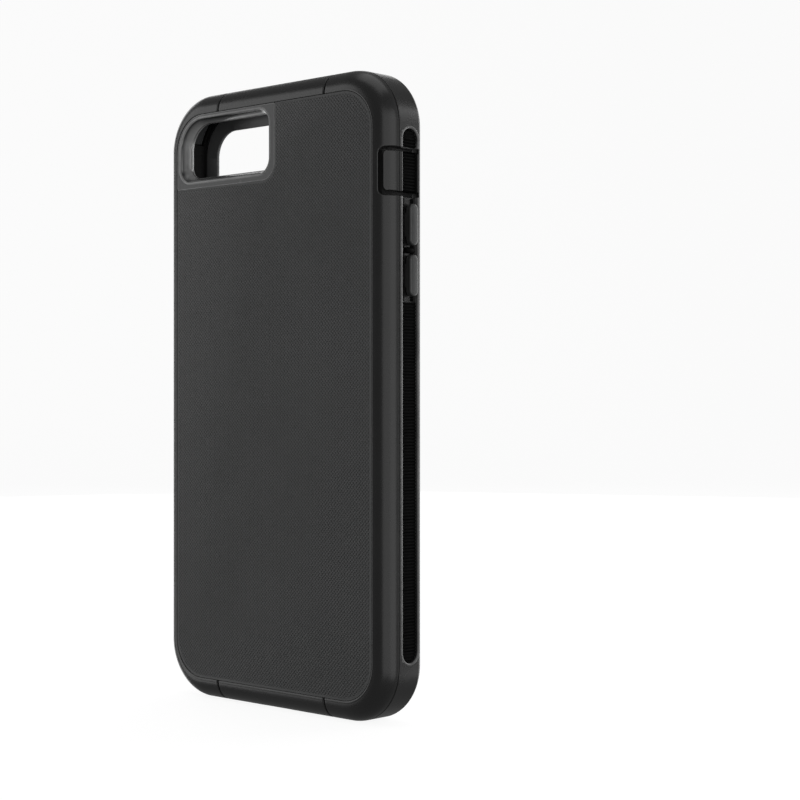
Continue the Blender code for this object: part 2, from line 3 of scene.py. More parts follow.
import bpy
import numpy as np
from mathutils import Matrix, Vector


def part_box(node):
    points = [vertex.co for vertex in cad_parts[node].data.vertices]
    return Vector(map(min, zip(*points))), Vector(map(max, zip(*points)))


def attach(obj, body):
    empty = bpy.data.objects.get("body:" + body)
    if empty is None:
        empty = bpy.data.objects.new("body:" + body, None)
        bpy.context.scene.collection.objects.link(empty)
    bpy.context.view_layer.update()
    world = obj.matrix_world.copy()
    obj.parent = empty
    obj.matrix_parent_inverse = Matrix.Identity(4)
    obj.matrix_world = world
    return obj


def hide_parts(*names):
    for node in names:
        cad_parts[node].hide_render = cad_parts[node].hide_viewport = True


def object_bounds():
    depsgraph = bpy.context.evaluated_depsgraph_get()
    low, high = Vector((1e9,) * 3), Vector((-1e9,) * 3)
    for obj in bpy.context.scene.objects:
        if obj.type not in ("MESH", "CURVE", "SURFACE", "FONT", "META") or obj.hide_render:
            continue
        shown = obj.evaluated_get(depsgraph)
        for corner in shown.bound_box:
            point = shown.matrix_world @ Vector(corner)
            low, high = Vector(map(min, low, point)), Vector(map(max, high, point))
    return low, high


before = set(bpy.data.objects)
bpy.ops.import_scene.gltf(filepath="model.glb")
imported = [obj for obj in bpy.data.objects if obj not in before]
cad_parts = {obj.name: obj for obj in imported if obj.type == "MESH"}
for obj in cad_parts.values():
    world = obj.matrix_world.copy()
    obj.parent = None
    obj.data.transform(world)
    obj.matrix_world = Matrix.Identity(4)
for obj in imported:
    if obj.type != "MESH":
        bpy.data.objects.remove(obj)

# Two-part snap-together phone case, empty, standing on its bottom end.
# +Z runs from the bottom end to the camera end, -Y is the rear, +X the side with the volume keys.
# Sections are drawn in millimetres as (inset from the outline, y), and everything is placed about mid-height.

cadLow, cadHigh = [list(map(float, corner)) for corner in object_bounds()]
midHeight = (cadLow[2] + cadHigh[2]) / 2 * 1000
mm = 0.001

caseShape = {
    "halfWidth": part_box("side_rail_right")[1][0] * 1000 - 0.2,  # without the raised lip of the slot
    "halfHeight": (cadHigh[2] - cadLow[2]) * 500,
    "cornerRadius": 15.0,
    "endGain": 0.18,  # along the ends, everything inside the outline lies a little further in
    "endLimit": 1.0,
    "endFade": 20.0,  # length of each side over which that fades out
    "cornerSteps": 40,
}
cornerX = caseShape["halfWidth"] - caseShape["cornerRadius"]  # centres of the outline's corners
cornerZ = caseShape["halfHeight"] - caseShape["cornerRadius"]


# mesh tools
def gridFaces(rows, columns, closedRows=False, closedColumns=False):
    # quads between neighbouring rows and columns of a grid of points, wrapping round where it is closed
    i = np.arange(rows if closedRows else rows - 1)[:, None]
    j = np.arange(columns if closedColumns else columns - 1)[None, :]
    nextI, nextJ = (i + 1) % rows, (j + 1) % columns
    corners = [i * columns + j, i * columns + nextJ, nextI * columns + nextJ, nextI * columns + j]
    return np.stack([np.broadcast_to(corner, (i.size, j.size)) for corner in corners], axis=-1).reshape(-1, 4)


def outwardBody(points, quads, caps=()):
    # a closed body whose signed volume is negative is inside out, so its faces are turned round. the volume is the
    # sum of a . (b x c) over the triangles that fan out from each face's first corner
    a, b, c, d = (points[quads[:, k]] for k in range(4))
    volume = np.sum(a * np.cross(b, c)) + np.sum(a * np.cross(c, d))
    for cap in caps:
        volume += np.sum(points[cap[0]] * np.cross(points[cap[1:-1]], points[cap[2:]]))
    faces = quads.tolist() + [cap.tolist() for cap in caps]
    return points, faces if volume > 0 else [face[::-1] for face in faces]


def loftSurface(loops):
    # closed body: loops of equal length joined in order, with the first and the last filled
    loops = np.asarray(loops, dtype=float)
    rows, columns = loops.shape[:2]
    ring = np.arange(columns)
    caps = [ring[::-1], ring + (rows - 1) * columns]
    return outwardBody(loops.reshape(-1, 3), gridFaces(rows, columns, False, True), caps)


def ringSurface(loops):
    # closed body like a tyre: the last loop joins the first one
    loops = np.asarray(loops, dtype=float)
    rows, columns = loops.shape[:2]
    return outwardBody(loops.reshape(-1, 3), gridFaces(rows, columns, True, True))


def together(*bodies):
    # several bodies as one, each with its corners counted on from the one before
    points, faces, start = [], [], 0
    for bodyPoints, bodyFaces in bodies:
        points.append(bodyPoints)
        faces += [[start + corner for corner in face] for face in bodyFaces]
        start += len(bodyPoints)
    return np.concatenate(points), faces


def markEdges(mesh):
    # "edge" is 1 where the surface turns outwards sharply: there a vertex stands above its neighbours along its
    # normal, by the sine of half the turn
    ends = np.empty(len(mesh.edges) * 2, dtype=np.int32)
    mesh.edges.foreach_get("vertices", ends)
    a, b = ends.reshape(-1, 2).T
    points, normals = np.empty(len(mesh.vertices) * 3), np.empty(len(mesh.vertices) * 3)
    mesh.vertices.foreach_get("co", points)
    mesh.vertex_normals.foreach_get("vector", normals)
    points, normals = points.reshape(-1, 3), normals.reshape(-1, 3)
    apart = points[a] - points[b]
    apart /= np.maximum(np.linalg.norm(apart, axis=1), 1e-9)[:, None]
    above = np.zeros(len(points))
    np.maximum.at(above, a, np.sum(normals[a] * apart, axis=1))
    np.maximum.at(above, b, -np.sum(normals[b] * apart, axis=1))
    if "edge" in mesh.attributes:
        mesh.attributes.remove(mesh.attributes["edge"])
    marked = mesh.attributes.new("edge", "FLOAT", "POINT")
    marked.data.foreach_set("value", np.clip((above - 0.04) / 0.1, 0, 1).astype(np.float32))


def newMesh(name, body):
    # sections are in millimetres about mid-height, and the mesh is in metres from the bottom end
    points, faces = body
    mesh = bpy.data.meshes.new(name)
    mesh.from_pydata((np.asarray(points) * mm + np.array([0, 0, midHeight * mm])).tolist(), [], faces)
    return mesh


def linkNew(name, data):
    # new object at the origin, in the scene's own collection
    made = bpy.data.objects.new(name, data)
    bpy.context.scene.collection.objects.link(made)
    return made


def smoothMesh(mesh, sharpAngle):
    # smooth shading, except where two faces meet at more than this angle
    mesh.shade_smooth()
    mesh.set_sharp_from_angle(angle=math.radians(sharpAngle))
    markEdges(mesh)


def makePiece(name, body, finish, rider, replaced, sharpAngle=40):
    # one finished piece: it moves with the body called rider and stands for the replaced CAD nodes
    mesh = newMesh(name, body)
    mesh.validate()
    mesh.materials.append(materials[finish])
    smoothMesh(mesh, sharpAngle)
    piece = linkNew(name, mesh)
    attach(piece, rider)
    if replaced:
        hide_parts(*replaced)
    return piece


def roundedBlock(low, high, edge=0.12):
    # box whose long edges are chamfered: loops along z, drawn in at both ends
    loops = []
    for z, draw in ((low[2], edge), (low[2] + edge, 0.0), (high[2] - edge, 0.0), (high[2], edge)):
        x0, x1, y0, y1 = low[0] + draw, high[0] - draw, low[1] + draw, high[1] - draw
        corner = [(x0 + edge, y0), (x1 - edge, y0), (x1, y0 + edge), (x1, y1 - edge)]
        corner += [(x1 - edge, y1), (x0 + edge, y1), (x0, y1 - edge), (x0, y0 + edge)]
        loops.append([(x, y, z) for x, y in corner])
    return loftSurface(loops)


# paths round the case
def lineLength(line):
    # distance along a line of points, from its first one
    return np.concatenate([[0], np.cumsum(np.linalg.norm(np.diff(line, axis=0), axis=1))])


def quarterTurn(signX, signZ):
    # stations round one corner of the outline, as (centre x, centre z, outward x, outward z)
    angle = np.radians(np.linspace(0, 90, caseShape["cornerSteps"] + 1))
    still = 0 * angle
    return np.stack(
        [signX * cornerX + still, signZ * cornerZ + still, signX * np.sin(angle), signZ * np.cos(angle)], axis=1
    )


def endRun(xs, signZ):
    # stations along an end, at the given x
    xs = np.asarray(xs, dtype=float)
    return np.stack([xs, signZ * cornerZ + 0 * xs, 0 * xs, signZ + 0 * xs], axis=1)


def sideRun(zs, signX):
    # stations along a side, at the given heights
    zs = np.asarray(zs, dtype=float)
    return np.stack([signX * cornerX + 0 * zs, zs, signX + 0 * zs, 0 * zs], axis=1)


def carrySection(stations, inset, y):
    # every section point goes (radius - inset) outwards from its station's centre, and along an end or a corner
    # the centre itself moves in by the end gain, which fades out over the first part of each side
    inset, y = np.atleast_2d(inset), np.atleast_2d(y)
    centreX, centreZ, outX, outZ = (stations[:, k : k + 1] for k in range(4))
    fade = caseShape["endFade"]
    extra = np.minimum(caseShape["endGain"] * inset, caseShape["endLimit"])
    extra = extra * np.clip((np.abs(centreZ) - cornerZ + fade) / fade, 0, 1) * np.sign(centreZ)
    x = centreX + outX * (caseShape["cornerRadius"] - inset)
    z = centreZ - extra + outZ * (caseShape["cornerRadius"] - inset)
    return np.stack([x, y + 0 * x, z], axis=-1)


def ringPath(bottomXs=None):
    # stations all the way round the outline, clockwise as seen from the screen side
    zs = np.linspace(cornerZ, -cornerZ, 69)[1:-1]
    xs = np.linspace(-cornerX, cornerX, 29)[1:-1]
    bottomXs = -xs if bottomXs is None else bottomXs
    runs = [endRun(xs, 1), quarterTurn(1, 1), sideRun(zs, 1), quarterTurn(1, -1)[::-1]]
    runs += [endRun(bottomXs, -1), quarterTurn(-1, -1), sideRun(zs[::-1], -1), quarterTurn(-1, 1)[::-1]]
    return np.concatenate(runs)


def turnedOutline(corners, inset, y):
    # outline made of arcs joined by straight lines, drawn in by inset: each corner is
    # (centre x, centre z, radius, start angle, end angle, hand), and hand is -1 where the corner is hollow
    points = []
    for centreX, centreZ, radius, start, end, hand in corners:
        angle = np.radians(np.linspace(start, end, 17))
        reach = max(radius - hand * inset, 0.02)
        x, z = centreX + reach * np.cos(angle), centreZ + reach * np.sin(angle)
        points.append(np.stack([x, y + 0 * x, z], axis=1))
    return np.concatenate(points)


def notchedOutline(across, up, radius, notchX, notchZ, small):
    # corners for turnedOutline of a rounded plate with the camera's corner left out: small rounds where the notch
    # meets the plate's edge, and a wide hollow one inside it
    hollow = 5.0
    return [
        (across, up, radius, 90, 0, 1),
        (across, -up, radius, 0, -90, 1),
        (-across, -up, radius, -90, -180, 1),
        (-across - radius + small, notchZ - small, small, 180, 90, 1),
        (notchX - hollow, notchZ + hollow, hollow, -90, 0, -1),
        (notchX + small, up + radius - small, small, 180, 90, 1),
    ]


def rimArc(edge, level, way):
    # quarter round at a plate's edge as (drawn in, y): it ends level with the face, and way is 1 or -1, the side of
    # the face where the plate lies
    angles = np.radians([20, 40, 60, 78, 90])
    return [(edge * (1 - math.cos(angle)), level + way * edge * (1 - math.sin(angle))) for angle in angles]


def roundedRectangle(left, right, low, high, radii):
    # corners for turnedOutline, from the high right one, clockwise as seen from the screen side
    highRight, lowRight, lowLeft, highLeft = radii
    return [
        (right - highRight, high - highRight, highRight, 90, 0, 1),
        (right - lowRight, low + lowRight, lowRight, 0, -90, 1),
        (left + lowLeft, low + lowLeft, lowLeft, -90, -180, 1),
        (left + highLeft, high - highLeft, highLeft, -180, -270, 1),
    ]


# materials
def linearColour(code):
    # sRGB hex to linear
    values = [int(code[k : k + 2], 16) / 255 for k in (1, 3, 5)]
    return [v / 12.92 if v <= 0.04045 else ((v + 0.055) / 1.055) ** 2.4 for v in values] + [1.0]


def addNode(tree, kind, settings=None, links=None):
    # settings are attributes, or socket values by name or number; links are socket name or number to output
    node = tree.nodes.new("ShaderNode" + kind)
    for key, value in (settings or {}).items():
        if isinstance(key, str) and hasattr(node, key):
            setattr(node, key, value)
        else:
            node.inputs[key].default_value = value
    for key, output in (links or {}).items():
        tree.links.new(output, node.inputs[key])
    return node


def mouldedMaterial(name, finish):
    # satin moulded plastic or rubber. use leaves cloudy patches where it is handled, fine scattered specks of dust, and
    # sharp outer edges painted paler and shinier: real wear on most finishes, a painted highlight on the slot lips and
    # the camera surround; the roughness follows the patches, and the specks are its spark grain
    material = bpy.data.materials.new(name)
    material.use_nodes = True
    tree = material.node_tree
    tree.nodes.clear()
    place = addNode(tree, "TexCoord").outputs["Object"]
    surface = {
        "Metallic": 0.0,
        "IOR": 1.5,
        "Roughness": finish["roughness"],
        "Specular IOR Level": finish.get("specular", 0.5),
        "Sheen Weight": finish.get("sheen", 0.0),
    }
    shader = addNode(tree, "BsdfPrincipled", surface)
    addNode(tree, "OutputMaterial", None, {"Surface": shader.outputs[0]}).is_active_output = True
    cloud = addNode(
        tree, "TexNoise", {"Scale": finish["cloudScale"], "Detail": 4.0, "Roughness": 0.6}, {"Vector": place}
    ).outputs[0]
    speck = addNode(tree, "TexNoise", {"Scale": finish["grainScale"], "Detail": 2.0}, {"Vector": place}).outputs[0]
    dust = addNode(
        tree, "MapRange", {"From Min": 0.62, "From Max": 0.78, "To Min": 0.0, "To Max": 0.35}, {"Value": speck}
    )
    patches = addNode(
        tree,
        "Mix",
        {"data_type": "RGBA", 6: linearColour(finish["dark"]), 7: linearColour(finish["light"])},
        {0: cloud},
    )
    dusty = addNode(
        tree,
        "Mix",
        {"data_type": "RGBA", 7: linearColour(finish["dustColour"])},
        {0: dust.outputs[0], 6: patches.outputs[2]},
    )
    low, high = finish["roughness"] - finish["roughVary"], finish["roughness"] + finish["roughVary"]
    rough = addNode(
        tree, "MapRange", {"From Min": 0.3, "From Max": 0.7, "To Min": low, "To Max": high}, {"Value": cloud}
    )
    edge = addNode(tree, "Attribute", {"attribute_name": "edge"})
    uneven = addNode(
        tree,
        "MapRange",
        {"From Min": 0.35, "From Max": 0.6, "To Min": finish["wearAndHighlightAmount"] * 0.5, "To Max": finish["wearAndHighlightAmount"]},
        {"Value": cloud},
    )
    # along sharp outer edges the colour is painted paler: real wear on most finishes, a painted highlight on the slot
    # lips and the camera surround
    wearAndHighlightMask = addNode(
        tree, "Math", {"operation": "MULTIPLY"}, {0: edge.outputs["Fac"], 1: uneven.outputs[0]}
    ).outputs[0]
    wearAndHighlightMix = addNode(
        tree, "Mix", {"data_type": "RGBA", 7: linearColour(finish["wearAndHighlightColour"])}, {0: wearAndHighlightMask, 6: dusty.outputs[2]}
    )
    polish = addNode(tree, "Math", {"operation": "MULTIPLY_ADD", 1: -0.12}, {0: wearAndHighlightMask, 2: rough.outputs[0]})
    grain = {"Strength": finish["grain"], "Distance": finish["grainDepth"] * mm}
    bump = addNode(tree, "Bump", grain, {"Height": speck})
    tree.links.new(wearAndHighlightMix.outputs[2], shader.inputs["Base Color"])
    tree.links.new(polish.outputs[0], shader.inputs["Roughness"])
    tree.links.new(bump.outputs[0], shader.inputs["Normal"])
    if "pitch" in finish:
        addWeave(tree, place, shader, bump, finish)
    if "cell" in finish:
        addCells(tree, place, shader, bump, finish)
    return material


def addWeave(tree, place, shader, bump, finish):
    # two families of fine diagonal ridges that cross in small diamonds: each is the sine of the distance across it
    # over the pitch, the higher one shows, and the valleys between them are painted darker as painted shade
    split = addNode(tree, "SeparateXYZ", None, {"Vector": place})
    turn = 2 * math.pi / (finish["pitch"] * mm)
    waves = []
    for slant in (finish["slant"], -finish["slant"]):
        partX, partZ = turn * math.cos(math.radians(slant)), turn * math.sin(math.radians(slant))
        across = addNode(tree, "Math", {"operation": "MULTIPLY", 1: partX}, {0: split.outputs[0]})
        phase = addNode(
            tree, "Math", {"operation": "MULTIPLY_ADD", 1: partZ}, {0: split.outputs[2], 2: across.outputs[0]}
        )
        waves.append(addNode(tree, "Math", {"operation": "SINE"}, {0: phase.outputs[0]}).outputs[0])
    woven = addNode(tree, "Math", {"operation": "MAXIMUM"}, {0: waves[0], 1: waves[1]})
    height = addNode(
        tree, "MapRange", {"From Min": -1.0, "From Max": 1.0, "To Min": 0.0, "To Max": 1.0}, {"Value": woven.outputs[0]}
    ).outputs[0]
    inside = addNode(tree, "Attribute", {"attribute_name": "weave"}).outputs["Fac"]
    strength = addNode(tree, "Math", {"operation": "MULTIPLY", 1: finish["relief"]}, {0: inside})
    relief = addNode(
        tree,
        "Bump",
        {"Distance": finish["reliefDepth"] * mm},
        {"Strength": strength.outputs[0], "Height": height, "Normal": bump.outputs[0]},
    )
    # painted shade: the colour darkens towards the valleys of the relief
    shade = addNode(
        tree,
        "Mix",
        {"data_type": "RGBA", 6: linearColour(finish["valleyShade"]), 7: linearColour(finish["ridge"])},
        {0: height},
    )
    plain = shader.inputs["Base Color"].links[0].from_socket
    blend = addNode(
        tree,
        "Mix",
        {"data_type": "RGBA", "blend_type": "MULTIPLY"},
        {0: inside, 6: plain, 7: shade.outputs[2]},
    )
    tree.links.new(relief.outputs[0], shader.inputs["Normal"])
    tree.links.new(blend.outputs[2], shader.inputs["Base Color"])


def addCells(tree, place, shader, bump, finish):
    # small round hollows on a square grid: the height is the distance from each cell's centre
    cells = addNode(
        tree,
        "TexVoronoi",
        {"Scale": 1 / (finish["cell"] * mm), "Randomness": 0.0, "feature": "F1"},
        {"Vector": place},
    )
    press = addNode(
        tree,
        "Bump",
        {"Strength": 0.5, "Distance": 0.15 * mm},
        {"Height": cells.outputs["Distance"], "Normal": bump.outputs[0]},
    )
    tree.links.new(press.outputs[0], shader.inputs["Normal"])


finishes = {
    # thermoplastic polyurethane, injection moulded against a sparked tool: soft satin, near black
    "bumperRubber": {
        "dark": "#1a1a1a", "light": "#212121", "dustColour": "#383838", "roughness": 0.27, "roughVary": 0.03,
        "cloudScale": 60.0, "grainScale": 3500.0, "grain": 0.25, "grainDepth": 0.03,
        "wearAndHighlightAmount": 0.22, "wearAndHighlightColour": "#4a4a4a",
    },
    # the raised edge of the slots: the same rubber, with a strong painted highlight along its sharp edges, pale and a
    # little shinier
    "highlightedRubber": {
        "dark": "#1f1f1f", "light": "#272727", "dustColour": "#3c3c3c", "roughness": 0.3, "roughVary": 0.03,
        "cloudScale": 60.0, "grainScale": 3500.0, "grain": 0.15, "grainDepth": 0.02,
        "wearAndHighlightAmount": 0.85, "wearAndHighlightColour": "#7a7a7a",
    },
    # polycarbonate with a moulded relief of fine grooves that cross at 45 degrees
    "panelPlastic": {
        "dark": "#303131", "light": "#373838", "dustColour": "#505050", "roughness": 0.47, "roughVary": 0.05,
        "cloudScale": 45.0, "grainScale": 3000.0, "grain": 0.15, "grainDepth": 0.02, "pitch": 0.744, "slant": 45.0,
        "relief": 0.9, "reliefDepth": 0.12, "valleyShade": "#858585", "ridge": "#ffffff",
        "wearAndHighlightAmount": 0.6, "wearAndHighlightColour": "#585858",
    },
    # polycarbonate and ABS blend, polished tool with a light spark finish
    "trayPlastic": {
        "dark": "#161616", "light": "#1d1d1d", "dustColour": "#333333", "roughness": 0.4, "roughVary": 0.06,
        "cloudScale": 50.0, "grainScale": 2500.0, "grain": 0.2, "grainDepth": 0.03,
        "wearAndHighlightAmount": 0.5, "wearAndHighlightColour": "#3c3c3c",
    },
    # the grey ring: the same blend, coloured dark grey
    "framePlastic": {
        "dark": "#444546", "light": "#4c4d4e", "dustColour": "#646566", "roughness": 0.45, "roughVary": 0.05,
        "cloudScale": 55.0, "grainScale": 3000.0, "grain": 0.25, "grainDepth": 0.03,
        "wearAndHighlightAmount": 0.5, "wearAndHighlightColour": "#6c6c6c",
    },
    # soft black elastomer of the grips: dull, with dust held in its ribs
    "gripRubber": {
        "dark": "#050505", "light": "#0a0a0a", "dustColour": "#161616", "roughness": 0.68, "roughVary": 0.06,
        "cloudScale": 90.0, "grainScale": 4000.0, "grain": 0.3, "grainDepth": 0.03, "specular": 0.03,
        "wearAndHighlightAmount": 0.2, "wearAndHighlightColour": "#121212",
    },
    # the inner tray: the same blend, left as it comes from a blasted tool, so it stays dull and dark
    "innerPlastic": {
        "dark": "#0e0e0e", "light": "#141414", "dustColour": "#262626", "roughness": 0.55, "roughVary": 0.06,
        "cloudScale": 50.0, "grainScale": 2500.0, "grain": 0.3, "grainDepth": 0.03, "specular": 0.25,
        "wearAndHighlightAmount": 0.3, "wearAndHighlightColour": "#242424",
    },
    # camera surround: polycarbonate from a polished tool, with a strong painted highlight along its round rim and other
    # sharp edges
    "surroundPlastic": {
        "dark": "#2d2e2e", "light": "#343535", "dustColour": "#4c4c4c", "roughness": 0.26, "roughVary": 0.04,
        "cloudScale": 70.0, "grainScale": 4200.0, "grain": 0.1, "grainDepth": 0.02,
        "wearAndHighlightAmount": 0.9, "wearAndHighlightColour": "#a2a2a2",
    },
    # keys: polycarbonate, smooth satin
    "keyPlastic": {
        "dark": "#262727", "light": "#2d2e2e", "dustColour": "#464646", "roughness": 0.36, "roughVary": 0.05,
        "cloudScale": 80.0, "grainScale": 4200.0, "grain": 0.15, "grainDepth": 0.02,
        "wearAndHighlightAmount": 0.6, "wearAndHighlightColour": "#4a4a4a",
    },
    # gel-filled elastomer of the corner cushions
    "gelRubber": {
        "dark": "#353637", "light": "#3e3f40", "dustColour": "#555657", "roughness": 0.5, "roughVary": 0.06,
        "cloudScale": 120.0, "grainScale": 3000.0, "grain": 0.3, "grainDepth": 0.03,
        "wearAndHighlightAmount": 0.3, "wearAndHighlightColour": "#5a5a5a",
    },
    # microfibre-faced foam sheet: dull dark grey nap over small round cells on a 1.6 mm grid
    "padFoam": {
        "dark": "#2a2b2d", "light": "#35373a", "dustColour": "#4b4e51", "roughness": 0.9, "roughVary": 0.04,
        "cloudScale": 40.0, "grainScale": 2200.0, "grain": 0.6, "grainDepth": 0.06, "sheen": 0.25, "cell": 1.6,
        "wearAndHighlightAmount": 0.3, "wearAndHighlightColour": "#4a4b4d",
    },
}
materials = {name: mouldedMaterial(name, finish) for name, finish in finishes.items()}
print("materials made")


# bumper
bumper = {
    "slitPlace": 20.5,
    "slitWidth": 0.5,
    "roundRadius": 4.95,
    "roundInset": 5.0,
    "roundLevel": -2.05,
    "edgeRound": 0.25,
    "slotRear": -0.45,
    "slotFront": 4.99,
    "slotHalfLength": 67.3,
    "slotDepth": 1.15,
    "wallStart": 0.55,
    "wallWidth": 0.4,
    "tongueDepth": 0.7,
}
flap = {
    "low": 51.2,
    "high": 61.3,
    "gap": 1.1,
    "startAngle": 41.0,
    "cutAngle": 24.0,
    "cutFront": 5.35,
    "front": 5.15,
    "floor": 41.15,
    "inner": 40.75,
    "edgeRound": 0.35,
    "corner": 1.2,
    "openingCorner": 1.7,
    "blend": 2.2,
    "undercut": (4.28, -5.45),
    "innerRadius": 3.5,
}


def roundover(angle, radius=bumper["roundRadius"]):
    # point of the rear roundover as (inset, y); 0 degrees faces the rear and 90 the side
    angle = np.radians(angle)
    return np.stack([bumper["roundInset"] - radius * np.sin(angle), bumper["roundLevel"] - radius * np.cos(angle)], -1)


def outerSection():
    # outer line of the bumper as (inset, y): bead, roundover, crease, flat side, front roundover
    bead = [(4.85, -5.4), (4.85, -6.1), (4.85, -6.62), (4.82, -6.78), (4.74, -6.9), (4.62, -6.98), (4.5, -7.0)]
    bead += [(4.38, -6.985), (4.27, -6.95), (4.17, -6.925)]
    cut, cutFront = flap["cutAngle"], flap["cutFront"]
    angles = [12, 14, 16, 18, 19.5, cut - 3, cut - 2.2, cut - 1.4, cut - 0.8, cut - 0.35, cut]
    angles += list(np.linspace(cut, 88, 24)[1:])
    crease = [(0.02, -2.07), (0.28, -2.02), (0.33, -1.96), (0.34, -1.89), (0.32, -1.83), (0.28, -1.79), (0.14, -1.75)]
    crease += [(0.03, -1.71), (0.0, -1.65)]
    sideYs = [-1.5, -1.38, -1.25, -1.1, -0.95, -0.8, -0.6, -0.3, 0.4, 1.2, 1.9, 2.6, 3.4, 4.1, 4.4, 4.6, 4.75, 4.9]
    sideYs += [5.05, 5.2, cutFront, cutFront + 0.03, cutFront + 0.07]
    front = [(0.03, 5.52), (0.1, 5.78), (0.23, 6.05), (0.42, 6.29), (0.66, 6.49), (0.93, 6.62), (1.2, 6.69)]
    front += [(1.42, 6.71), (1.57, 6.68), (1.66, 6.61), (1.7, 6.5)]
    return np.concatenate([bead, roundover(np.array(angles)), crease, [(0.0, y) for y in sideYs], front])


def innerSection(outer):
    # inner line with as many points as the outer one, spaced in proportion to it
    line = np.array([(4.3, -5.4), (3.0, -4.9), (2.05, -3.7), (1.7, -2.3), (1.7, 6.3)])
    outerLength, innerLength = lineLength(outer), lineLength(line)
    share = outerLength / outerLength[-1] * innerLength[-1]
    return np.stack([np.interp(share, innerLength, line[:, k]) for k in (0, 1)], axis=1)


def sectionNormals(section):
    # outward normal of the section in (inset, y), from the line's direction turned a quarter
    tangent = np.gradient(section, axis=0)
    tangent /= np.linalg.norm(tangent, axis=1)[:, None]
    return np.stack([-tangent[:, 1], tangent[:, 0]], axis=1)


def edgeDrop(distance, radius):
    # how far a rounded edge falls below the surface at this distance from the edge
    reach = np.clip(radius - distance, 0, radius)
    return radius - np.sqrt(radius**2 - reach**2)


def smoothStep(value):
    # rises from 0 to 1 with level ends: 3 v^2 - 2 v^3
    value = np.clip(value, 0, 1)
    return value * value * (3 - 2 * value)


edgeSteps = np.array([0.0, 0.02, 0.06, 0.12, 0.19, 0.26])


def cornerPull(intoZ, intoSection, radius):
    # how far a point near the opening's square corner moves, along z and along the section, to round that corner:
    # a point on the edge goes to the arc between the two tangent points, and the pull fades out away from it
    edgeZ, edgeSection = np.maximum(intoZ, 0), np.maximum(intoSection, 0)
    share = np.where(edgeSection > edgeZ, edgeSection, -edgeZ) / radius
    angle = np.radians(-135 - 45 * np.clip(share, -1, 1))
    pullZ = radius * (1 + np.cos(angle)) - edgeZ
    pullSection = radius * (1 + np.sin(angle)) - edgeSection
    distance = np.hypot(np.minimum(intoZ, 0), np.minimum(intoSection, 0))
    fade = np.clip(1 - distance / flap["blend"], 0, 1) ** 2 * (np.abs(share) <= 1)
    return pullZ * fade, pullSection * fade


def slotSink(height, section):
    # depth of the slot's floor: full inside a stadium round the slot's middle line, with a smooth narrow wall
    radius = (bumper["slotFront"] - bumper["slotRear"]) / 2
    middle = (bumper["slotFront"] + bumper["slotRear"]) / 2
    past = np.maximum(np.abs(height) - (bumper["slotHalfLength"] - radius), 0)
    away = np.hypot(past, section[:, 1] - middle) - radius
    return bumper["slotDepth"] * smoothStep((bumper["wallStart"] - away) / bumper["wallWidth"]) * (section[:, 0] < 0.01)


def wallFaces(line, shift, flip):
    # quads that join a line of points on the outer skin to the same line on the inner one
    wall = np.stack([line[:-1], line[1:], line[1:] + shift, line[:-1] + shift], axis=1)
    return wall[:, ::-1] if flip else wall


def bumperShell(stations, slot=False, opening=None):
    # outer and inner skins over (station, section point), joined along the bead, the seam and both ends.
    # depth is how far the outer skin is pushed in: rounded ends, the slot's floor, the edge of the flap's opening
    outer = outerSection()
    inner = innerSection(outer)
    normal = sectionNormals(outer).T
    rows, columns = len(stations), len(outer)
    onSide = stations[:, 3:4] == 0
    height = np.where(onSide, stations[:, 1:2], 1000.0)
    travel = lineLength(stations[:, :2] + stations[:, 2:] * caseShape["cornerRadius"])
    ends = np.minimum(travel, travel[-1] - travel)[:, None]
    depth = np.tile(edgeDrop(ends, bumper["edgeRound"]), (1, columns))
    if slot:
        depth += slotSink(height, outer) * onSide
    inset, y = outer.T
    innerInset, innerY = (np.tile(values, (rows, 1)) for values in inner.T)
    slideZ = np.zeros((rows, columns))
    skin = gridFaces(rows, columns)
    grid = np.arange(rows * columns).reshape(rows, columns)
    rims = [(grid[:, 0], False), (grid[:, -1], True), (grid[0], True), (grid[-1], False)]
    if opening:
        lowZ, highZ, first, last = opening
        beyond = np.maximum(np.maximum(lowZ - height, height - highZ), 0)
        along = lineLength(outer)[None, :]
        across = np.maximum(np.maximum(along[:, first] - along, along - along[:, last]), 0)
        depth += edgeDrop(np.hypot(beyond, across), bumper["edgeRound"]) * onSide
        # points near the opening's corners slide along the surface, so that the corners come out round
        slideSection = np.zeros((rows, columns))
        for hand, edge in ((1, lowZ), (-1, highZ)):
            pullZ, pullSection = cornerPull(hand * (height - edge), along - along[:, first], flap["openingCorner"])
            slideZ += hand * pullZ * onSide
            slideSection += pullSection * onSide
        place = (along + slideSection).ravel()
        inset, y, *normal = (
            np.interp(place, along[0], values).reshape(rows, columns) for values in (inset, y, *normal)
        )
        # the opening is undercut along its rear edge, so the gap beside the flap looks deep
        beside = (height >= lowZ - 1e-6) & (height <= highZ + 1e-6) & (np.arange(columns)[None, :] <= first)
        innerInset[beside], innerY[beside] = flap["undercut"]
        zs = height[:, 0]
        rowInside = (np.minimum(zs[:-1], zs[1:]) > lowZ - 1e-6) & (np.maximum(zs[:-1], zs[1:]) < highZ + 1e-6)
        columnInside = (np.arange(columns - 1) >= first) & (np.arange(columns - 1) < last)
        skin = skin[~(rowInside[:, None] & columnInside[None, :]).reshape(-1)]
        insideRows = np.where(rowInside)[0]
        hole = grid[insideRows[0] : insideRows[-1] + 2, first : last + 1]
        rims += [(hole[:, 0], True), (hole[:, -1], False), (hole[0], False), (hole[-1], True)]
    outerPoints = carrySection(stations, inset - depth * normal[0], y - depth * normal[1])
    innerPoints = carrySection(stations, innerInset, innerY)
    points = np.stack([outerPoints, innerPoints])
    points[..., 2] += slideZ
    walls = [wallFaces(line, grid.size, flip) for line, flip in rims]
    return outwardBody(points.reshape(-1, 3), np.concatenate([skin, skin[:, ::-1] + grid.size] + walls))


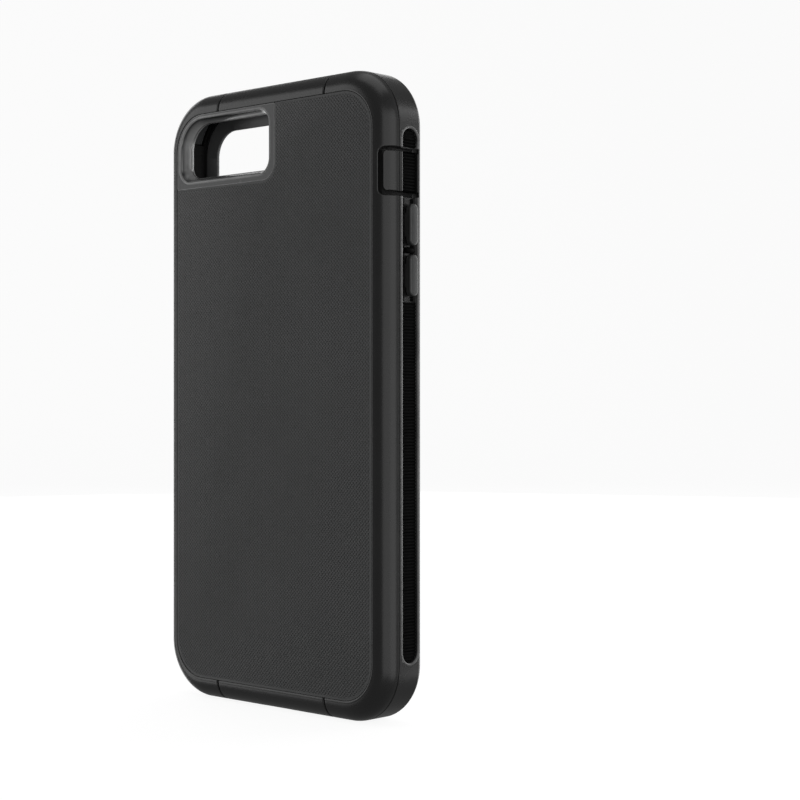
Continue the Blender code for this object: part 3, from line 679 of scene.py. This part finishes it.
def railPath(side, heights):
    # one side rail: a length of the top end, a corner, the side, a corner, a length of the bottom end
    start = bumper["slitPlace"] + bumper["slitWidth"] / 2
    xs = side * np.concatenate([start + edgeSteps, np.linspace(start + 0.6, cornerX, 12)[:-1]])
    runs = [endRun(xs, 1), quarterTurn(side, 1), sideRun(heights, side)]
    return np.concatenate(runs + [quarterTurn(side, -1)[::-1], endRun(xs[::-1], -1)])


def sideHeights(extra=()):
    # heights along the side, close together near the slot's round ends
    fine = np.concatenate([np.linspace(cornerZ, 63.5, 24), np.linspace(-63.5, -cornerZ, 24)])
    coarse = np.linspace(63.0, -63.0, 106)
    heights = np.unique(np.round(np.concatenate([fine, coarse, np.asarray(extra, dtype=float)]), 4))[::-1]
    return heights[1:-1]


def makeBumperPiece(name, body, node):
    # one length of the bumper, on the back half
    return makePiece(name, body, "bumperRubber", "back_half", [node])


def makeRails():
    # the flap's opening runs between two section points and two heights, and stations that crowd its corners
    # without lying on them are left out
    outer = outerSection()
    low, high = flap["low"] - flap["gap"], flap["high"] + flap["gap"]
    first = int(np.argmin(np.abs(outer - roundover(flap["cutAngle"])).sum(axis=1)))
    last = int(np.argmin(np.abs(outer - np.array([0.0, flap["cutFront"]])).sum(axis=1)))
    within = np.array([0.12, 0.27, 0.45, 0.65, 0.9, 1.2, 1.5, 1.8])
    cuts = np.concatenate([low - edgeSteps, low + within, high + edgeSteps, high - within])
    heights = sideHeights(cuts)
    nearCut = np.minimum(np.abs(heights - low - 0.7), np.abs(heights - high + 0.7))
    stray = (nearCut < 1.2) & ~np.isin(np.round(heights, 4), np.round(cuts, 4))
    right = bumperShell(railPath(1, heights[~stray]), True, (low, high, first, last))
    makeBumperPiece("bumperRight", right, "side_rail_right")
    makeBumperPiece("bumperLeft", bumperShell(railPath(-1, sideHeights()), True), "side_rail_left")


def capPath(end):
    # the length of one end between its two slits
    reach = bumper["slitPlace"] - bumper["slitWidth"] / 2
    half = np.concatenate([reach - edgeSteps, np.linspace(reach - 0.6, 0, 24)])
    return endRun(np.concatenate([half, -half[::-1][1:]]), end)


def stadiumRun(low, high, rear, front, steps=28):
    # stations round a slot's round ends, as (centre y, centre z, outward y, outward z, radius)
    radius, middle = (front - rear) / 2, (front + rear) / 2
    angle = np.radians(np.linspace(0, 180, steps + 1))
    runs = []
    for way, centreZ in ((1, high - radius), (-1, low + radius)):
        still = 0 * angle
        values = [middle + still, centreZ + still, way * np.cos(angle), way * np.sin(angle), radius + still]
        runs.append(np.stack(values, axis=1))
    return runs


slotLip = np.array(
    # (distance out from the slot's edge, height above the side face): a low band, then a round edge into the slot
    [(0.66, -0.2), (0.64, -0.03), (0.6, 0.02), (0.55, 0.045), (0.48, 0.06), (0.4, 0.06)]
    + [(0.4 - 0.4 * math.sin(a), 0.06 - 0.4 * (1 - math.cos(a))) for a in np.radians([10, 22, 34, 46, 58, 70, 80, 90])]
    + [(0.0, -0.6), (0.0, -1.1), (0.3, -1.1), (0.5, -0.6)]
)


def lipBody(side, run, closed):
    # the raised edge of the slot: the lip's section carried round the slot's outline
    reach = run[:, 4:5] + slotLip[None, :, 0]
    x = side * (caseShape["halfWidth"] + slotLip[None, :, 1]) + 0 * run[:, :1]
    loops = np.stack([x, run[:, 0:1] + run[:, 2:3] * reach, run[:, 1:2] + run[:, 3:4] * reach], axis=-1)
    return ringSurface(loops) if closed else loftSurface(loops)


def makeSlotLips():
    # on the left the lip runs all the way round, and on the right it stops on both sides of the flap's opening
    length = bumper["slotHalfLength"]
    top, bottom = stadiumRun(-length, length, bumper["slotRear"], bumper["slotFront"])
    middle, radius = top[0, 0], top[0, 4]
    low, high = flap["low"] - flap["gap"] - 0.02, flap["high"] + flap["gap"] + 0.02
    frontLow, frontHigh, rearLow, rearHigh = (
        np.array([[middle, height, way, 0.0, radius]]) for way in (1.0, -1.0) for height in (low, high)
    )
    upper = lipBody(1, np.concatenate([frontHigh, top, rearHigh]), False)
    lower = lipBody(1, np.concatenate([rearLow, bottom, frontLow]), False)
    leftLip = lipBody(-1, np.concatenate([top, bottom]), True)
    # the lips carry a painted highlight along their rounded edge
    for name, body in (("slotEdgeLeft", leftLip), ("slotEdgeRight", together(upper, lower))):
        makePiece(name, body, "highlightedRubber", "back_half", [], 60)


def makeSlitTongues():
    # below each slit a tongue joins the two bumper lengths, a little under the surface
    outer = outerSection()
    inner = innerSection(outer) + np.array([0.0, -0.1])
    drawn = outer - bumper["tongueDepth"] * sectionNormals(outer)
    kept = (outer[:, 1] > -6.5) & (drawn[:, 0] < inner[:, 0] - 0.05) & (outer[:, 1] < 6.3)
    section = np.concatenate([drawn[kept], inner[kept][::-1]])
    reach = bumper["slitWidth"] / 2 + 0.1
    bodies = []
    for signX in (-1, 1):
        for signZ in (-1, 1):
            xs = signX * bumper["slitPlace"] + np.array([-reach, 0.0, reach])
            bodies.append(loftSurface(carrySection(endRun(xs, signZ), section[:, 0], section[:, 1])))
    makePiece("slitTongues", together(*bodies), "gripRubber", "back_half", [])


makeRails()
makeSlotLips()
makeSlitTongues()
makeBumperPiece("bumperTop", bumperShell(capPath(1)), "top_cap")
print("bumper made")


# bottom cap with its port
port = {
    "halfWidth": 6.6,
    "rear": -3.0,
    "front": 4.4,
    "corner": 2.4,
    "flare": 1.3,
    "speakerPlace": 14.5,
    "speakerLength": 8.0,
    "speakerHeight": 2.4,
    "middle": 1.15,
    "reach": 4.5,
}


def boreBody(levels, centre, half, rear, front, corner):
    # cutter for an opening in the bottom end: a rounded outline in plan, grown a little at each level
    loops = []
    for z, grow in levels:
        sides = centre - half - grow, centre + half + grow, rear - grow, front + grow
        x, _, y = turnedOutline(roundedRectangle(*sides, [corner + grow] * 4), 0.0, 0.0).T
        loops.append(np.stack([x, y, z + 0 * x], axis=1))
    return loftSurface(loops)


def makeBottomCap():
    # the charging opening flares in a quarter round towards the outer face, and the two speaker slots are chamfered
    cap = makeBumperPiece("bumperBottom", bumperShell(capPath(-1)), "bottom_cap")
    floor, flare, past = -caseShape["halfHeight"], port["flare"], port["reach"]
    levels = [(floor + past, 0.0), (floor + 1.6, 0.0)]
    for angle in np.radians(np.linspace(10, 80, 8)):
        levels.append((floor + 1.6 * (1 - math.sin(angle)), flare * (1 - math.cos(angle))))
    levels += [(floor - 0.05, flare), (floor - 1.0, flare + 0.3)]
    cutters = [boreBody(levels, 0.0, port["halfWidth"], port["rear"], port["front"], port["corner"])]
    half, tall, middle = port["speakerLength"] / 2, port["speakerHeight"] / 2, port["middle"]
    levels = [(floor + past, 0.0), (floor + 0.3, 0.0), (floor + 0.12, 0.05), (floor - 0.2, 0.35)]
    for centre in (-port["speakerPlace"], port["speakerPlace"]):
        cutters.append(boreBody(levels, centre, half, middle - tall, middle + tall, tall - 0.01))
    cutter = linkNew("portCutter", newMesh("portCutter", together(*cutters)))
    boolean = cap.modifiers.new("port", "BOOLEAN")
    boolean.operation = "DIFFERENCE"
    boolean.solver = "EXACT"
    boolean.object = cutter
    bpy.context.view_layer.update()
    cutMesh = bpy.data.meshes.new_from_object(cap.evaluated_get(bpy.context.evaluated_depsgraph_get()))
    cap.modifiers.remove(boolean)
    bpy.data.objects.remove(cutter)
    cap.data = cutMesh
    smoothMesh(cutMesh, 32)


makeBottomCap()
print("bottom cap made")


# flap over the ring switch
def flapSection(fromEnd):
    # closed line of the flap as (x, y): roundover, crease, slot edge, slot floor, slot edge, inner face.
    # near an end the roundover starts later, which rounds the flap's corner
    half, corner = caseShape["halfWidth"], flap["corner"]
    short = corner - math.sqrt(max(corner**2 - max(corner - fromEnd, 0.0) ** 2, 0.0))
    start = flap["startAngle"] + math.degrees(short / bumper["roundRadius"])
    crease = [(0.02, -2.07), (0.3, -2.01), (0.34, -1.89), (0.28, -1.79), (0.03, -1.71)]
    line = [(half - inset, y) for inset, y in [*roundover(np.linspace(start, 88, 14)), *crease]]
    line += [(half + h, bumper["slotRear"] - d) for d, h in slotLip[3:14]]
    line += [(flap["floor"], bumper["slotRear"]), (flap["floor"], bumper["slotFront"])]
    line += [(half + h, bumper["slotFront"] + d) for d, h in slotLip[4:14][::-1] if d < 0.3]
    line += [(half - 0.04, flap["front"] - 0.03), (half - 0.2, flap["front"]), (half - 0.7, flap["front"])]
    line += [(flap["inner"], 4.4), (flap["inner"], -1.9)]
    line += [(half - inset, y) for inset, y in roundover(np.linspace(90, start, 8), flap["innerRadius"])]
    return np.array(line)


def makeFlap():
    # the section is carried up the flap and drawn in at both ends along its own outward direction, by a quarter
    # round; the sign of the section's area says on which side of the line the solid lies
    steps = np.array([0.0, 0.02, 0.06, 0.12, 0.2, 0.3, 0.42, 0.56, 0.74, 0.95, 1.2])
    middle = np.linspace(flap["low"] + 1.6, flap["high"] - 1.6, 7)
    loops = []
    for z in np.concatenate([flap["low"] + steps, middle, flap["high"] - steps[::-1]]):
        ends = min(z - flap["low"], flap["high"] - z)
        section = flapSection(ends)
        following = np.roll(section, -1, axis=0) - np.roll(section, 1, axis=0)
        following /= np.linalg.norm(following, axis=1)[:, None]
        x, y = section.T
        area = np.sum(x * np.roll(y, -1) - np.roll(x, -1) * y)
        out = np.stack([following[:, 1], -following[:, 0]], axis=1) * np.sign(area)
        drawn = section - out * float(edgeDrop(np.array(ends), flap["edgeRound"])) * 0.8
        loops.append(np.stack([drawn[:, 0], drawn[:, 1], z + 0 * x], axis=1))
    makePiece("switchFlap", loftSurface(loops), "bumperRubber", "switch_flap", ["switch_flap"], 50)


makeFlap()


# ribbed grips
grip = {"pitch": 0.81, "ribHeight": 0.32, "inner": 41.2, "outer": 41.85, "side": 0.12, "perRib": 8, "space": 0.3}


def gripBody(side, low, high, roundEnd):
    # strip across the slot: at each height its section is a flat-topped bar, whose top rises and falls with the
    # ribs as a power of a cosine, and whose width follows the slot's round end
    rear, front = bumper["slotRear"] + grip["side"], bumper["slotFront"] - grip["side"]
    radius, middle = (front - rear) / 2, (front + rear) / 2
    count = int((high - low) / grip["pitch"] * grip["perRib"])
    z = np.linspace(low, high, count)
    past = 0 * z
    if roundEnd:
        spread = (1 - np.cos(np.linspace(0, math.pi / 2, 24))) * radius
        ends = high - spread if roundEnd > 0 else low + spread
        flat = np.linspace(low, high - radius, count) if roundEnd > 0 else np.linspace(low + radius, high, count)
        z = np.unique(np.round(np.concatenate([flat, ends]), 4))
        past = np.maximum(z - (high - radius), 0) if roundEnd > 0 else np.maximum(low + radius - z, 0)
    width = np.sqrt(np.maximum(radius**2 - past**2, 0.02))
    top = grip["outer"] - grip["ribHeight"] * (1 - np.abs(np.cos(math.pi * z / grip["pitch"])) ** 0.8)
    top = top - 0.25 * np.clip(1 - width / 0.8, 0, 1)
    corner = np.minimum(0.25, width * 0.5)
    left = [-width, -width, -width + corner * 0.3, -width + corner]
    right = [0 * width, width - corner, width - corner * 0.3, width, width]
    ys = np.stack(left + right, axis=1)
    xs = top[:, None] - np.array([0, 0.2, 0.06, 0.0, 0.0, 0.0, 0.06, 0.2, 0])[None, :]
    xs[:, [0, -1]] = grip["inner"]
    return loftSurface(np.stack([side * xs, middle + ys, z[:, None] + 0 * ys], axis=-1))


def nodeSpan(node):
    # lowest and highest z of a CAD node, in millimetres about mid-height
    return [corner[2] * 1000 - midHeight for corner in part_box(node)]


def makeGrips():
    # the strips fill the slot between its round ends, the key bases and the flap's opening
    length = bumper["slotHalfLength"] - grip["side"]
    space = grip["space"]
    volumeBase, powerBase = nodeSpan("volume_key_base"), nodeSpan("power_key_base")
    spans = {
        "gripRightLower": (1, -length, volumeBase[0] - space, -1, "grip_strip_right_lower"),
        "gripRightUpper": (1, flap["high"] + flap["gap"] + space, length, 1, "grip_strip_right_upper"),
        "gripLeftLower": (-1, -length, powerBase[0] - space, -1, "grip_strip_left_lower"),
        "gripLeftUpper": (-1, powerBase[1] + space, length, 1, "grip_strip_left_upper"),
    }
    for name, (side, low, high, roundEnd, node) in spans.items():
        makePiece(name, gripBody(side, low, high, roundEnd), "gripRubber", "back_half", [node], 60)
    body = gripBody(1, flap["low"] + 0.1, flap["high"] - 0.1, 0)
    makePiece("flapGrip", body, "gripRubber", "switch_flap", ["switch_flap_grip"], 60)


makeGrips()
print("flap and grips made")


# keys and their bases
keys = {
    "rear": 1.3,
    "front": 4.3,
    "inner": 41.75,
    "outer": 43.28,
    "tip": 39.45,
    "stemHalf": 3.0,
    "stemRear": 1.5,
    "stemFront": 2.9,
    "edge": 0.5,
    "web": (40.55, 41.2),
    "saddle": (40.9, 42.15),
}


def keyBody(side, low, high):
    # pill: a slot outline drawn in step by step, first round the edge and then over a slightly domed face
    outer, edge = keys["outer"], keys["edge"]
    levels = [(keys["inner"], 0.0), (outer - 0.55, 0.0)]
    for angle in np.radians(np.linspace(12, 90, 8)):
        levels.append((outer - 0.03 - edge * (1 - math.sin(angle)), edge * (1 - math.cos(angle))))
    levels += [(outer - 0.015, 0.8), (outer - 0.004, 1.1), (outer, 1.45)]
    run = np.concatenate(stadiumRun(low, high, keys["rear"], keys["front"], 20))
    loops = []
    for x, inset in levels:
        reach = run[:, 4] - inset
        loops.append(np.stack([side * x + 0 * reach, run[:, 0] + run[:, 2] * reach, run[:, 1] + run[:, 3] * reach], 1))
    middle = (low + high) / 2
    ends = sorted((side * keys["tip"], side * (keys["inner"] + 0.3)))
    stem = roundedBlock(
        (ends[0], keys["stemRear"], middle - keys["stemHalf"]), (ends[1], keys["stemFront"], middle + keys["stemHalf"])
    )
    return together(loftSurface(loops), stem)


def makeKeys():
    # each key's length is its CAD node's
    for name, node, rider, side in (
        ("volumeUpKey", "volume_up_button", "volume_up_key", 1),
        ("volumeDownKey", "volume_down_button", "volume_down_key", 1),
        ("powerKey", "power_button", "power_key", -1),
    ):
        makePiece(name, keyBody(side, *nodeSpan(node)), "keyPlastic", rider, [node], 45)


def baseBody(side, node, saddle):
    # rubber web under the keys, a bar on each side of the stems, with a rounded saddle between two keys
    low, high = nodeSpan(node)
    rear, front = [corner[1] * 1000 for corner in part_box(node)]
    x0, x1 = sorted(side * x for x in keys["web"])
    bars = [
        roundedBlock((x0, rear, low), (x1, keys["stemRear"] - 0.25, high)),
        roundedBlock((x0, keys["stemFront"] + 0.25, low), (x1, front, high)),
    ]
    if saddle:
        x0, x1 = sorted(side * x for x in keys["saddle"])
        bars.append(roundedBlock((x0, 1.1, saddle - 0.75), (x1, front - 0.1, saddle + 0.75), 0.35))
    return together(*bars)


def makeBases():
    # the saddle stands half-way between the two volume keys
    between = (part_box("volume_up_button")[0][2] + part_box("volume_down_button")[1][2]) * 500 - midHeight
    for name, side, node, saddle in (
        ("volumeKeyWeb", 1, "volume_key_base", between),
        ("powerKeyWeb", -1, "power_key_base", None),
    ):
        makePiece(name, baseBody(side, node, saddle), "gripRubber", "back_half", [node], 45)


makeKeys()
makeBases()
print("keys made")


# rear panel and camera surround
panel = {"rear": -6.91, "inner": -5.45, "edge": 0.06, "inset": 4.84, "fit": 0.015, "smoothBand": 0.7}
surround = {
    "left": -37.2,
    "right": 2.0,
    "low": 57.1,
    "high": 76.97,
    "rim": (-36.7, 0.2, 58.6, 76.6),
    "throat": (-35.0, -1.4, 60.3, 75.2),
    "rear": -6.92,
    "bead": 0.4,
}


def makePanel():
    # the relief stops a little inside the outline, so a smooth band runs round it
    inset, rear, fit = panel["inset"], panel["rear"], panel["fit"]
    up = cornerZ - min(caseShape["endGain"] * inset, caseShape["endLimit"])
    corners = notchedOutline(
        cornerX, up, caseShape["cornerRadius"] - inset, surround["right"] + fit, surround["low"] - fit, 0.45
    )
    levels = [(0.0, panel["inner"]), (0.0, rear + panel["edge"])] + rimArc(panel["edge"], rear, 1)
    levels += [(panel["smoothBand"] * share, rear) for share in (0.5, 0.8, 1.0, 1.6)]
    loops = [turnedOutline(corners, drawn, y) for drawn, y in levels]
    piece = makePiece("rearPanel", loftSurface(loops), "panelPlastic", "back_half", ["rear_panel"])
    woven = np.repeat([0.0] * (len(levels) - 2) + [1.0, 1.0], len(loops[0]))
    piece.data.attributes.new("weave", "FLOAT", "POINT").data.foreach_set("value", woven.astype(np.float32))


def makeSurround():
    # flange level with the panel, a raised round bead at the rim, walls that slope in to the throat, a sleeve.
    # each loop is an outline, how far it is drawn in, and y
    rim, throat, rear, bead = surround["rim"], surround["throat"], surround["rear"], surround["bead"]
    left, high = surround["left"] - 0.26, surround["high"] + 0.3
    outer = roundedRectangle(left, surround["right"], surround["low"], high, [0.3, 4.8, 0.3, 10.16])
    edge = roundedRectangle(*rim, [4.5, 4.5, 4.5, 9.4])
    sleeve = roundedRectangle(*throat, [3.4, 3.4, 3.4, 7.4])
    loops = [(outer, 0.0, panel["inner"]), (outer, 0.0, rear + 0.2), (outer, 0.0, rear + 0.05)]
    loops += [(outer, 0.03, rear + 0.01), (outer, 0.08, rear), (outer, 0.3, rear)]
    loops += [(edge, -0.3, rear), (edge, -0.16, rear)]
    # the bead is a small arc that stands just above the flange and rolls into the sloping wall
    for angle in np.radians(np.linspace(50, 175, 10)):
        loops.append((edge, 0.1 - bead * math.cos(angle), -7.0 + bead * (1 - math.sin(angle))))
    for share, y in ((0.08, -6.45), (0.2, -6.2), (0.5, -5.6), (1.0, -4.0)):
        sides = [start + (end - start) * (0.35 + 0.65 * share) for start, end in zip(rim, throat)]
        loops.append((roundedRectangle(*sides, [3.7, 3.7, 3.7, 7.8]), 0.0, y))
    loops += [(sleeve, 0.0, -3.85), (sleeve, 0.0, -3.1), (sleeve, -0.1, -3.0), (sleeve, -0.7, -3.0)]
    loops += [(sleeve, -0.8, -3.1), (sleeve, -0.8, panel["inner"])]
    body = ringSurface([turnedOutline(*loop) for loop in loops])
    makePiece("cameraSurround", body, "surroundPlastic", "back_half", ["camera_surround"], 50)


makePanel()
makeSurround()
print("panel and camera surround made")


# front half
frontHalf = {
    "tabLength": 8.0,
    "tabRear": 2.4,
    "tabFront": 5.4,
    "tabThick": 0.7,
    "tabGap": 0.15,
    "trayWall": 1.0,
    "sideTabs": (-40.0, 8.0),
    "endTabs": (-26.0, 26.0),
    "scoopTop": 7.25,
    "scoopBottom": 6.15,
    "scoopDepth": 1.6,
    "window": 7.8,
}


def makeFrontRim():
    # the black lip: outer wall, a crest like a rounded ridge, and a slope down to the grey ring. its snap tabs stand
    # just inside the tray's walls
    section = [(3.25, 4.9), (2.06, 4.9), (2.0, 4.96), (2.0, 6.3), (2.03, 6.5), (2.12, 6.68), (2.28, 6.83), (2.5, 6.93)]
    section += [(2.78, 6.985), (3.05, 7.0), (3.3, 6.98), (3.6, 6.87), (4.0, 6.68), (4.45, 6.44), (4.68, 6.31)]
    section += [(4.78, 6.22), (4.8, 6.12), (4.8, 5.85), (3.25, 5.85)]
    bodies = [ringSurface(carrySection(ringPath(), *np.array(section).T))]
    half, thick = frontHalf["tabLength"] / 2, frontHalf["tabThick"]
    rear, front = frontHalf["tabRear"], frontHalf["tabFront"]
    trayX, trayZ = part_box("inner_tray")[1][0] * 1000, nodeSpan("inner_tray")[1]
    sideInner, endInner = (size - frontHalf["trayWall"] + frontHalf["tabGap"] for size in (trayX, trayZ))
    for sign in (-1, 1):
        x0, x1 = sorted((sign * sideInner, sign * (sideInner + thick)))
        z0, z1 = sorted((sign * endInner, sign * (endInner + thick)))
        for centre in frontHalf["sideTabs"]:
            bodies.append(roundedBlock((x0, rear, centre - half), (x1, front, centre + half)))
        for centre in frontHalf["endTabs"]:
            bodies.append(roundedBlock((centre - half, rear, z0), (centre + half, front, z1)))
    makePiece("frontRim", together(*bodies), "trayPlastic", "front_half", ["front_rim"], 45)


def makeFrontFrame():
    # the grey ring: a flange under the lip, a gently crowned face, a rounded inner edge, and a scoop at the bottom.
    # the scoop moves the inner part of the section outwards, by a smooth step across it
    window, scoopTop, scoopBottom = frontHalf["window"], frontHalf["scoopTop"], frontHalf["scoopBottom"]
    section = [(3.5, 5.1), (3.5, 5.6), (4.95, 5.6), (5.0, 5.65), (5.0, 5.95), (5.05, 6.05), (5.2, 6.1), (5.8, 6.1)]
    section += [(6.6, 6.09), (window - 0.4, 6.07), (window - 0.2, 6.03), (window - 0.07, 5.95), (window, 5.8)]
    section += [(window, 5.2), (window - 0.1, 5.1)]
    inset, y = np.array(section).T[:, None, :]
    near = np.linspace(scoopTop + 0.3, scoopBottom - 0.3, 12)
    wide = np.linspace(cornerX, 8.5, 12)[1:]
    path = ringPath(np.concatenate([wide, near, np.linspace(5, -5, 9), -near[::-1], -wide[::-1]]))
    bottom = (path[:, 3] == -1) & (np.abs(path[:, 0]) < cornerX)
    share = smoothStep((scoopTop - np.abs(path[:, 0])) / (scoopTop - scoopBottom)) * bottom
    weight = np.clip((inset - (window - 1.9)) / 1.5, 0, 1)
    body = ringSurface(carrySection(path, inset - frontHalf["scoopDepth"] * share[:, None] * weight, y))
    makePiece("frontFrame", body, "framePlastic", "front_half", ["front_frame"], 45)


makeFrontRim()
makeFrontFrame()
print("front half made")


# inside: tray, pad and corner cushions
padShape = {
    "rear": -3.6,
    "front": -2.8,
    "edge": 0.3,
    "halfWidth": 36.9,
    "halfHeight": 77.0,
    "corner": 8.9,
    "notchGap": 1.5,
}


def makePad():
    # die-cut foam sheet with soft edges, cut away round the camera's sleeve
    edge, rear, front, corner = padShape["edge"], padShape["rear"], padShape["front"], padShape["corner"]
    across, up = padShape["halfWidth"] - corner, padShape["halfHeight"] - corner
    notchX, notchZ = surround["throat"][1] + padShape["notchGap"], surround["throat"][2] - padShape["notchGap"]
    corners = notchedOutline(across, up, corner, notchX, notchZ, 0.8)
    levels = [(0.15, rear), (0.0, rear + 0.15), (0.0, front - edge)] + rimArc(edge, front, -1)
    levels += [(0.5, front), (0.9, front)]
    body = loftSurface([turnedOutline(corners, drawn, y) for drawn, y in levels])
    pad = makePiece("backPad", body, "padFoam", "back_half", ["back_pad"])


cushion = {
    "radius": 12.25,
    "middle": 0.425,
    "level": 1.2,
    "halfThick": 0.475,
    "halfWide": 2.4,
    "groovePitch": 1.2,
    "grooveDepth": 0.08,
}


def makeCushions():
    # each cushion is a rounded bar bent round its corner of the tray, with three shallow grooves along it. its
    # section is a squarish oval: the square roots of the sine and the cosine, with their signs
    halfWidth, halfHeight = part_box("inner_tray")[1][0] * 1000, nodeSpan("inner_tray")[1]
    radius, middle, level = cushion["radius"], cushion["middle"], cushion["level"]
    turn = np.linspace(0, 2 * math.pi, 41)[:-1]
    across = middle + cushion["halfThick"] * np.sign(np.cos(turn)) * np.abs(np.cos(turn)) ** 0.5
    along = level + cushion["halfWide"] * np.sign(np.sin(turn)) * np.abs(np.sin(turn)) ** 0.5
    grooves = np.cos(2 * math.pi * (along - level) / cushion["groovePitch"]) < -0.5
    across -= cushion["grooveDepth"] * grooves * (np.cos(turn) > 0)
    angle = np.radians(np.linspace(15, 75, 31))
    taper = np.sqrt(np.clip(1 - (np.abs(np.linspace(-1, 1, 31)) ** 8), 0.25, 1))[:, None]
    reach = radius - (middle + (across[None, :] - middle) * taper)
    y = level + (along[None, :] - level) * (0.9 + 0.1 * taper)
    for signX, sideName in ((-1, "left"), (1, "right")):
        for signZ, endName in ((-1, "bottom"), (1, "top")):
            x = signX * (halfWidth - radius) + signX * np.sin(angle)[:, None] * reach
            z = signZ * (halfHeight - radius) + signZ * np.cos(angle)[:, None] * reach
            name = "cushion" + endName.capitalize() + sideName.capitalize()
            node = f"corner_cushion_{endName}_{sideName}"
            body = loftSurface(np.stack([x, y, z], axis=-1))
            makePiece(name, body, "gelRubber", "back_half", [node], 50)


makePad()
makeCushions()
print("inside made")


# studio
studio = {
    "centre": (0.0, 0.0, 0.083),
    "azimuth": 46.594,  # where the camera stands, round from the rear towards the volume keys
    "distance": 0.47467,
    "heading": 42.991,
    "lens": 79.86,
    "shiftY": -0.0052,
    "worldStrength": 0.22,
}


def makeCamera():
    # the camera stands level on a circle round the case
    data = bpy.data.cameras.new("camera")
    data.lens = studio["lens"]
    data.sensor_width = 36.0
    data.shift_y = studio["shiftY"]
    data.clip_start = 0.01
    data.clip_end = 20.0
    data.dof.use_dof = False
    camera = linkNew("camera", data)
    angle, reach = math.radians(studio["azimuth"]), studio["distance"]
    camera.location = (reach * math.sin(angle), -reach * math.cos(angle), studio["centre"][2])
    camera.rotation_euler = (math.pi / 2, 0, math.radians(studio["heading"]))
    bpy.context.scene.camera = camera


def makeLight(name, angle, distance, height, size, radiance):
    # a soft box that faces the case, at this angle round from the rear; its power follows its area
    data = bpy.data.lights.new(name, "AREA")
    data.shape = "RECTANGLE"
    data.size, data.size_y = size
    data.energy = radiance * math.pi * size[0] * size[1]
    turn = math.radians(angle)
    place = np.array([distance * math.sin(turn), -distance * math.cos(turn), height])
    toCase = np.array(studio["centre"]) - place
    toCase /= np.linalg.norm(toCase)
    across = np.cross([0, 0, 1], -toCase)
    across = across / np.linalg.norm(across) if np.linalg.norm(across) > 1e-3 else np.array([1.0, 0, 0])
    turned = Matrix(np.stack([across, np.cross(-toCase, across), -toCase], axis=1).tolist()).to_4x4()
    turned.translation = place.tolist()
    light = linkNew(name, data)
    light.matrix_world = turned
    light.visible_camera = False


lights = {
    "leftBox": (-55, 0.9, 0.15, (0.65, 1.1), 1.15),
    "leftRimBox": (-112, 1.0, 0.15, (0.5, 1.1), 1.2),
    "cameraBox": (55, 0.95, 0.15, (0.7, 1.1), 0.82),
    "rightBox": (96, 0.9, 0.12, (0.66, 1.1), 1.05),
    "rightBackBox": (160, 1.0, 0.15, (0.6, 1.1), 2.6),
    "screenBox": (205, 1.0, 0.2, (0.7, 1.0), 0.9),
    "topBox": (0, 0.001, 1.1, (0.9, 0.9), 0.9),
}


stage = {"flat": 1.2, "curve": 0.4, "wallTop": 2.5, "glow": 0.9}


def makeStage():
    # a round pale floor that curves up into a wall: a quarter circle carried round the vertical axis
    flat, curve = stage["flat"], stage["curve"]
    bend = np.radians(np.linspace(6, 90, 15))
    run = np.concatenate([np.linspace(0.0, flat, 14), flat + curve * np.sin(bend), [flat + curve]])
    rise = np.concatenate([np.zeros(14), curve * (1 - np.cos(bend)), [stage["wallTop"]]])
    run[0] = 0.001
    turn = np.radians(np.arange(0, 360, 5))
    x, y = run[:, None] * np.cos(turn)[None, :], run[:, None] * np.sin(turn)[None, :]
    faces = gridFaces(len(run), len(turn), False, True)[:, ::-1].tolist() + [list(range(len(turn)))]
    mesh = bpy.data.meshes.new("floor")
    mesh.from_pydata(np.stack([x, y, rise[:, None] + 0 * x], axis=-1).reshape(-1, 3).tolist(), [], faces)
    mesh.shade_smooth()
    floor = linkNew("floor", mesh)
    material = bpy.data.materials.new("paleFloor")
    material.use_nodes = True
    sockets = material.node_tree.nodes["Principled BSDF"].inputs
    sockets["Base Color"].default_value = linearColour("#707070")
    sockets["Roughness"].default_value = 0.9
    sockets["Emission Color"].default_value = linearColour("#ffffff")
    sockets["Emission Strength"].default_value = stage["glow"]
    mesh.materials.append(material)
    floor.visible_glossy = floor.visible_diffuse = floor.visible_shadow = False


def makeStudio():
    # plain pale room: camera, soft boxes, floor and a dim even world
    makeCamera()
    for name, facts in lights.items():
        makeLight(name, *facts)
    makeStage()
    world = bpy.data.worlds.new("softRoom")
    bpy.context.scene.world = world
    world.use_nodes = True
    background = world.node_tree.nodes["Background"]
    background.inputs[0].default_value = linearColour("#f4f4f4")
    background.inputs[1].default_value = studio["worldStrength"]
    bpy.context.scene.view_settings.view_transform = "Standard"
    bpy.context.scene.view_settings.look = "None"


makeStudio()

# carried-over pieces whose shape is already right get their finish here
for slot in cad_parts["inner_tray"].material_slots:
    slot.material = materials["innerPlastic"]
print("studio made")
